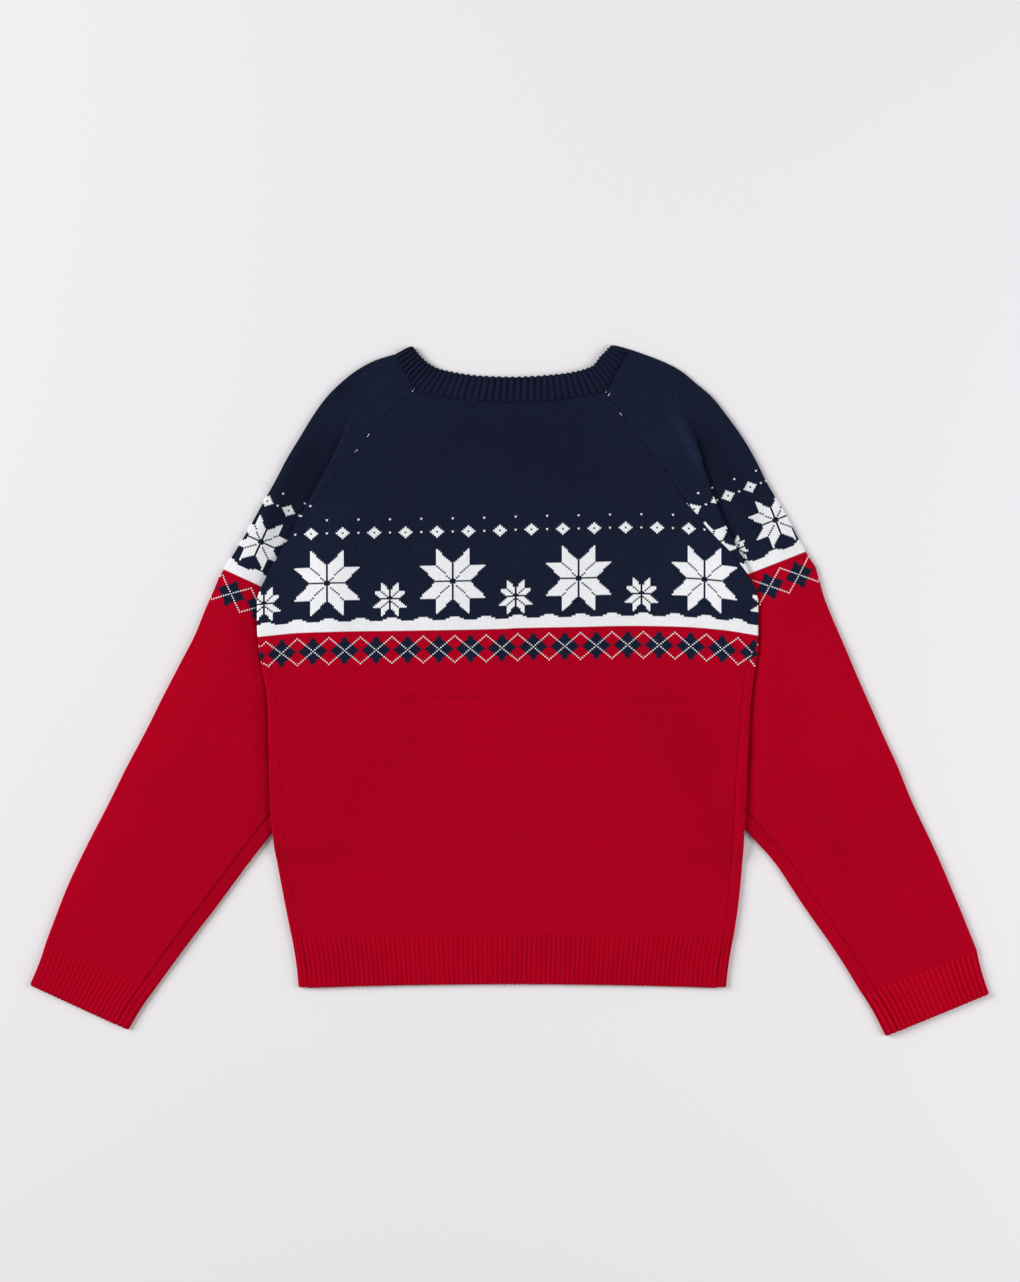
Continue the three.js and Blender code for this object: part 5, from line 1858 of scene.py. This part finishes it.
# Spacing, length, width, height, turn, jitter and seed of each kind of row
RAGLAN_LADDER = StitchRow(2.3, 1.9, 0.8, 0.7, 0.0, 0.25, 3)
NECK_CHAIN = StitchRow(2.15, 2.2, 1.0, 0.8, 24.0, 0.12, 5)
NECK_EDGE = StitchRow(1.9, 2.3, 1.3, 1.3, 12.0, 0.2, 7)
RIB_JOINING = StitchRow(2.4, 2.0, 0.8, 0.6, 0.0, 0.2, 9)
RIB_EDGE = StitchRow(2.35, 2.2, 1.2, 1.4, 0.0, 0.12, 11)
SIDE_SEAM = StitchRow(3.1, 1.3, 0.7, 0.6, 0.0, 0.15, 13)
SPECK = StitchRow(1.3, 1.5, 0.75, 0.6, 0.0, 0.1, 17)


@dataclass
class Seams:
    """The linked and sewn stitches at the sweater's seams and edges."""

    back: Back
    sleeves: dict[Side, Sleeve]
    hem: HemRib
    cuffs: dict[Side, Cuff]
    band: Neckband

    def raglan_line(self, side: Side) -> np.ndarray:
        """The raglan seam of one side where it shows."""
        rows = (len(RAGLANS[side]) - 1) * self.back.rows_each + 1
        own = self.back.cloth.outer[:rows, 0 if side is Side.LEFT else -1]
        other = self.sleeves[side].cloth.outer[:rows, 0]
        line = between(own, other, -SUNK)
        return line[2 : RAGLAN_SHOWN[side] * self.back.rows_each]

    def build(self, navy: Finish, red: Finish, white: Finish) -> None:
        """Makes every row of stitches.

        Args:
            navy: yarn of the neckband and the yoke.
            red: yarn of the body below the band.
            white: the light yarn that shows in specks beside the raglan seams.
        """
        shown = self.band.back_columns
        neck = self.band.cloth.outer[-1, :shown].copy()
        neck[:, 2] = TOP + WALL / 2 + 0.35
        neck_edge = self.band.cloth.middle[0, :shown] + np.array([0.0, -0.3, 0.35])
        sunk = np.array([0.0, 0.0, -JOINING_SUNK])
        hem_top = self.hem.back.outer[0] + sunk
        hem_edge = self.hem.back.middle[-1] + np.array([0.0, 0.0, 0.1])
        cuffs = [self.cuffs[side] for side in Side]
        cuff_tops = [cuff.cloth.outer[0, 2 : cuff.top_columns] + sunk for cuff in cuffs]
        cuff_edges = [cuff.cloth.middle[-1, 2 : cuff.top_columns] for cuff in cuffs]
        knit = "patterned_knit"
        rows = [
            (RAGLAN_LADDER, f"raglan_stitches_{side.word}", [self.raglan_line(side)], navy, knit)
            for side in Side
        ]
        rows += [
            (NECK_CHAIN, "neck_linking", [neck[2:-2]], navy, "navy_rib"),
            (NECK_EDGE, "neck_bound_edge", [neck_edge[2:-2]], navy, "navy_rib"),
            (RIB_JOINING, "hem_joining_stitches", [hem_top[2:-2]], red, "red_rib"),
            (RIB_EDGE, "hem_bound_edge", [hem_edge[2:-2]], red, "red_rib"),
            (RIB_JOINING, "cuff_joining_stitches", cuff_tops, red, "red_rib"),
            (RIB_EDGE, "cuff_bound_edges", cuff_edges, red, "red_rib"),
            (SIDE_SEAM, "side_seam_stitches", self.side_lines(), red, knit),
            (SPECK, "light_yarn_specks", self.speck_lines(), white, knit),
        ]
        for row, name, lines, finish, slot in rows:
            row.build(name, lines, finish, slot)

    def side_lines(self) -> list[np.ndarray]:
        """The sleeve seams and the seam of the body's right side, where they show."""
        lines = []
        for side in Side:
            own = self.sleeves[side].cloth.outer
            rows = (len(RAGLANS[side]) - 1) * self.back.rows_each + 3
            lines.append(between(own[rows:, 0], own[rows:, -1], -SLEEVE_SUNK)[60:-2])
            cuff = self.cuffs[side].cloth.outer
            lines.append(between(cuff[:, 0], cuff[:, -1], -SLEEVE_SUNK)[2:-1])
        body = self.back.cloth.outer[:, -1]
        shown = (body[:, 1] < RIGHT_RELIEF.start) & (body[:, 1] > HEM_SEAM_Y)
        return lines + [body[shown] - np.array([0.0, 0.0, SUNK])]

    def speck_lines(self) -> list[np.ndarray]:
        """Short ends of the light yarn that show beside the raglan seams."""
        grid = self.back.cloth.outer
        lines = []
        for x, y, run_x, run_y in FLOAT_SPECKS:
            height = float(grid[nearest(grid, x, y)][2]) + 0.2
            lines.append(np.array([(x, y, height), (x + run_x, y + run_y, height)]))
        return lines


# Surface, light and camera


@dataclass
class Studio:
    """The pale surface, the soft light over it, and the camera straight above."""

    centre: tuple[float, float] = (0.0005, 0.0469)
    distance: float = 2.88
    lens: float = 85.0
    sensor: float = 36.0
    table_size: float = 9.0

    def camera(self) -> None:
        """Puts the camera over the middle of the picture, looking straight down."""
        data = bpy.data.cameras.new("camera")
        data.sensor_fit = "VERTICAL"
        data.sensor_height = self.sensor
        data.lens = self.lens
        data.clip_end = 50.0
        made = linked("camera", data)
        made.location = (*self.centre, self.distance)
        bpy.context.scene.camera = made

    def table(self) -> None:
        """Lays the plain surface under the sweater."""
        half = self.table_size / 2
        mesh = bpy.data.meshes.new("table")
        corners = [(-half, -half, 0.0), (half, -half, 0.0), (half, half, 0.0), (-half, half, 0.0)]
        mesh.from_pydata(corners, [], [(0, 1, 2, 3)])
        mesh.materials.append(TableFinish("pale_surface").material())
        linked("table", mesh)

    def light(self, name: str, place_at: tuple[float, float, float], size: float, power: float) -> None:
        """Hangs one square soft light that points at the sweater."""
        data = bpy.data.lights.new(name, "AREA")
        data.shape = "SQUARE"
        data.size = size
        data.energy = power
        made = linked(name, data)
        made.location = place_at
        made.rotation_euler = (-Vector(place_at)).to_track_quat("-Z", "Y").to_euler()

    def lights(self) -> None:
        """Sets the soft lights and the even light of the room."""
        self.light("key_wall", (-4.0, 1.2, 2.4), 2.6, 246.0)
        self.light("fill_wall", (2.4, -0.2, 1.4), 1.6, 46.0)
        world = bpy.data.worlds.new("room")
        world.use_nodes = True
        background = world.node_tree.nodes["Background"]
        background.inputs[0].default_value = (1.0, 0.985, 1.0, 1.0)
        background.inputs[1].default_value = 0.28
        bpy.context.scene.world = world
        bpy.context.scene.view_settings.view_transform = "Standard"


def frame_shift() -> np.ndarray:
    """Where the solids' own origin lies in the frame, in millimetres, read from the hem rib's box."""
    low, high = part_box("hem_rib_back")
    top = BODY_ROWS[-1]
    own_middle = (top.left + top.inset + top.right - top.inset) / 2
    return np.array([(low[0] + high[0]) / 2 / MM - own_middle, low[1] / MM - HEM_ROW.y, 0.0])


# broad patches painted darker over the upper middle of the yoke and the right of the lower body, and
# lighter near the yoke's two sides
BODY_SHADES = table(
    Shade,
    (5.0, 180.0, 120.0, 60.0, -0.12), (110.0, 130.0, 60.0, 40.0, -0.06),
    (165.0, -110.0, 34.0, 80.0, -0.1), (120.0, -80.0, 30.0, 50.0, -0.05),
    (210.0, -200.0, 30.0, 60.0, -0.08), (-190.0, 60.0, 40.0, 60.0, 0.08),
    (190.0, 50.0, 40.0, 60.0, 0.08),
)
SLEEVES = {
    Side.LEFT: Sleeve(
        Side.LEFT,
        creases=table(
            Crease,
            (-262, 96, -236, 20, 6.0, 0.7, 2.0), (-276, 60, -240, -20, 7.0, -0.5, 2.0),
            (-250, -10, -215, -90, 7.0, 0.5, 3.0), (-300, -40, -250, -120, 11.0, 0.4, 4.0),
            (-330, -90, -300, -180, 12.0, -0.4, 3.0), (-360, -180, -330, -250, 9.0, 0.35, 3.0),
            (-200, 230, -226, 180, 6.0, -0.5, 1.5), (-150, 290, -190, 240, 10.0, 0.4, 3.0),
        ),
        wale_angle=24.5,
        band_place=(-234.1, 98.2),
        star_place=(-236.0, 146.0),
        argyle_stitch=13,
        fold_crest=0.2,
        # painted shade on the sleeve beside the shoulder fold and beside the body's left side
        shades=table(
            Shade,
            (-196, 214, 15.0, 40.0, -0.3), (-222, 166, 13.0, 36.0, -0.25),
            (-158, 292, 14.0, 26.0, -0.15), (-244, 60, 16.0, 40.0, -0.06),
        ),
        area=0.138,
    ),
    Side.RIGHT: Sleeve(
        Side.RIGHT,
        creases=table(
            Crease,
            (258, 96, 238, 20, 6.0, 0.7, 2.0), (280, 66, 246, -20, 7.0, -0.5, 2.0),
            (250, 0, 216, -90, 7.0, 0.55, 3.0), (310, -30, 262, -120, 11.0, 0.4, 4.0),
            (346, -90, 310, -190, 12.0, -0.4, 3.0), (380, -180, 340, -262, 9.0, 0.4, 3.0),
            (200, 246, 232, 190, 7.0, -0.6, 1.5), (150, 296, 200, 250, 10.0, 0.4, 3.0),
        ),
        wale_angle=21.3,
        band_place=(252.0, 121.6),
        star_place=(252.0, 160.0),
        argyle_stitch=1,
        fold_crest=1.3,
        # painted shade beside the shoulder fold and along the sleeve's lower inner edge, a painted
        # highlight on the shoulder fold's crest, and painted light toward the outer fold
        shades=table(
            Shade,
            (196, 222, 13.0, 44.0, -0.22), (224, 178, 12.0, 30.0, -0.12),
            (170, 236, 5.0, 30.0, 0.45), (290, 20, 50.0, 120.0, 0.06),
            (310, -150, 14.0, 60.0, -0.08),
        ),
        area=0.154,
    ),
}


def sleeve_finish(sleeve: Sleeve) -> KnitFinish:
    """The patterned knit of one sleeve, with a star where one shows."""
    points = sleeve.points()
    knit = sleeve.knit_places(points)
    star = nearest(points, *sleeve.star_place, 50 * (points[..., 2] < TOP))
    stitch = round(float(knit[star][0]) / STITCH_W)
    motif = Motif(
        middle=float(stitch + sleeve.argyle_stitch), star_middle=float(stitch), star_period=48.0,
        star=12.0, small_star=6.0, star_row=14 + 24.0, small_row=14 + 12.0,
    )
    shades = []
    # each painted patch goes to the highest cloth near its place, so that the highlight sits on the fold's
    # crest
    for shade in sleeve.shades:
        across, along = knit[nearest(points, shade.across, shade.along, -points[..., 2])]
        shades.append(shade._replace(across=float(across), along=float(along)))
    return KnitFinish(f"patterned_knit_sleeve_{sleeve.side.word}", motif=motif, shades=tuple(shades))


def main() -> None:
    """Builds the studio and the sweater in order."""
    logging.basicConfig(level=logging.INFO, format="%(name)s %(message)s")
    studio = Studio()
    studio.camera()
    studio.table()
    studio.lights()
    shift = frame_shift()
    log.info("solids' origin at %.3f, %.3f mm", shift[0], shift[1])
    body_motif = Motif(middle=-5.0, star_middle=34.0, star_row=14 + 32.0, small_row=14 + 16.0)
    body_knit = KnitFinish("patterned_knit_body", motif=body_motif, shades=BODY_SHADES)
    red_rib = RibFinish("fine_rib_red", colour=RIB_RED)
    # one yarn for both cuffs: the right cuff's copy is painted lighter overall than the left, and its
    # furrows get more painted shade
    cuff_ribs = {
        Side.LEFT: RibFinish("fine_rib_cuff_left", colour=RIB_RED, level=0.72, furrow=0.35),
        Side.RIGHT: RibFinish("fine_rib_cuff_right", colour=RIB_RED, level=0.82, furrow=1.0),
    }
    navy_rib = RibFinish("fine_rib_navy", colour=DEEP_NAVY, level=0.84, furrow=1.6, furrow_edge=2.6)
    back, hem, band = Back(), HemRib(), Neckband()
    back.build(body_knit, shift)
    Front().build(body_knit, shift)
    for sleeve in SLEEVES.values():
        sleeve.build(sleeve_finish(sleeve), shift)
    band.build(navy_rib, shift)
    hem.build_back(red_rib, shift)
    hem.build_front(red_rib, shift)
    cuffs = {
        Side.LEFT: Cuff(Side.LEFT, rib_rise=0.3, pitch=4.7),
        Side.RIGHT: Cuff(Side.RIGHT, rib_rise=1.3, pitch=5.3),
    }
    for side, cuff in cuffs.items():
        cuff.build(cuff_ribs[side], shift)
    seams = Seams(back, SLEEVES, hem, cuffs, band)
    seams.build(
        YarnFinish("navy_yarn", colour=(0.0085, 0.011, 0.027, 1.0)),
        YarnFinish("red_yarn", colour=(0.38, 0.001, 0.013, 1.0)),
        YarnFinish("white_yarn", colour=WHITE),
    )


if __name__ == "__main__":
    main()
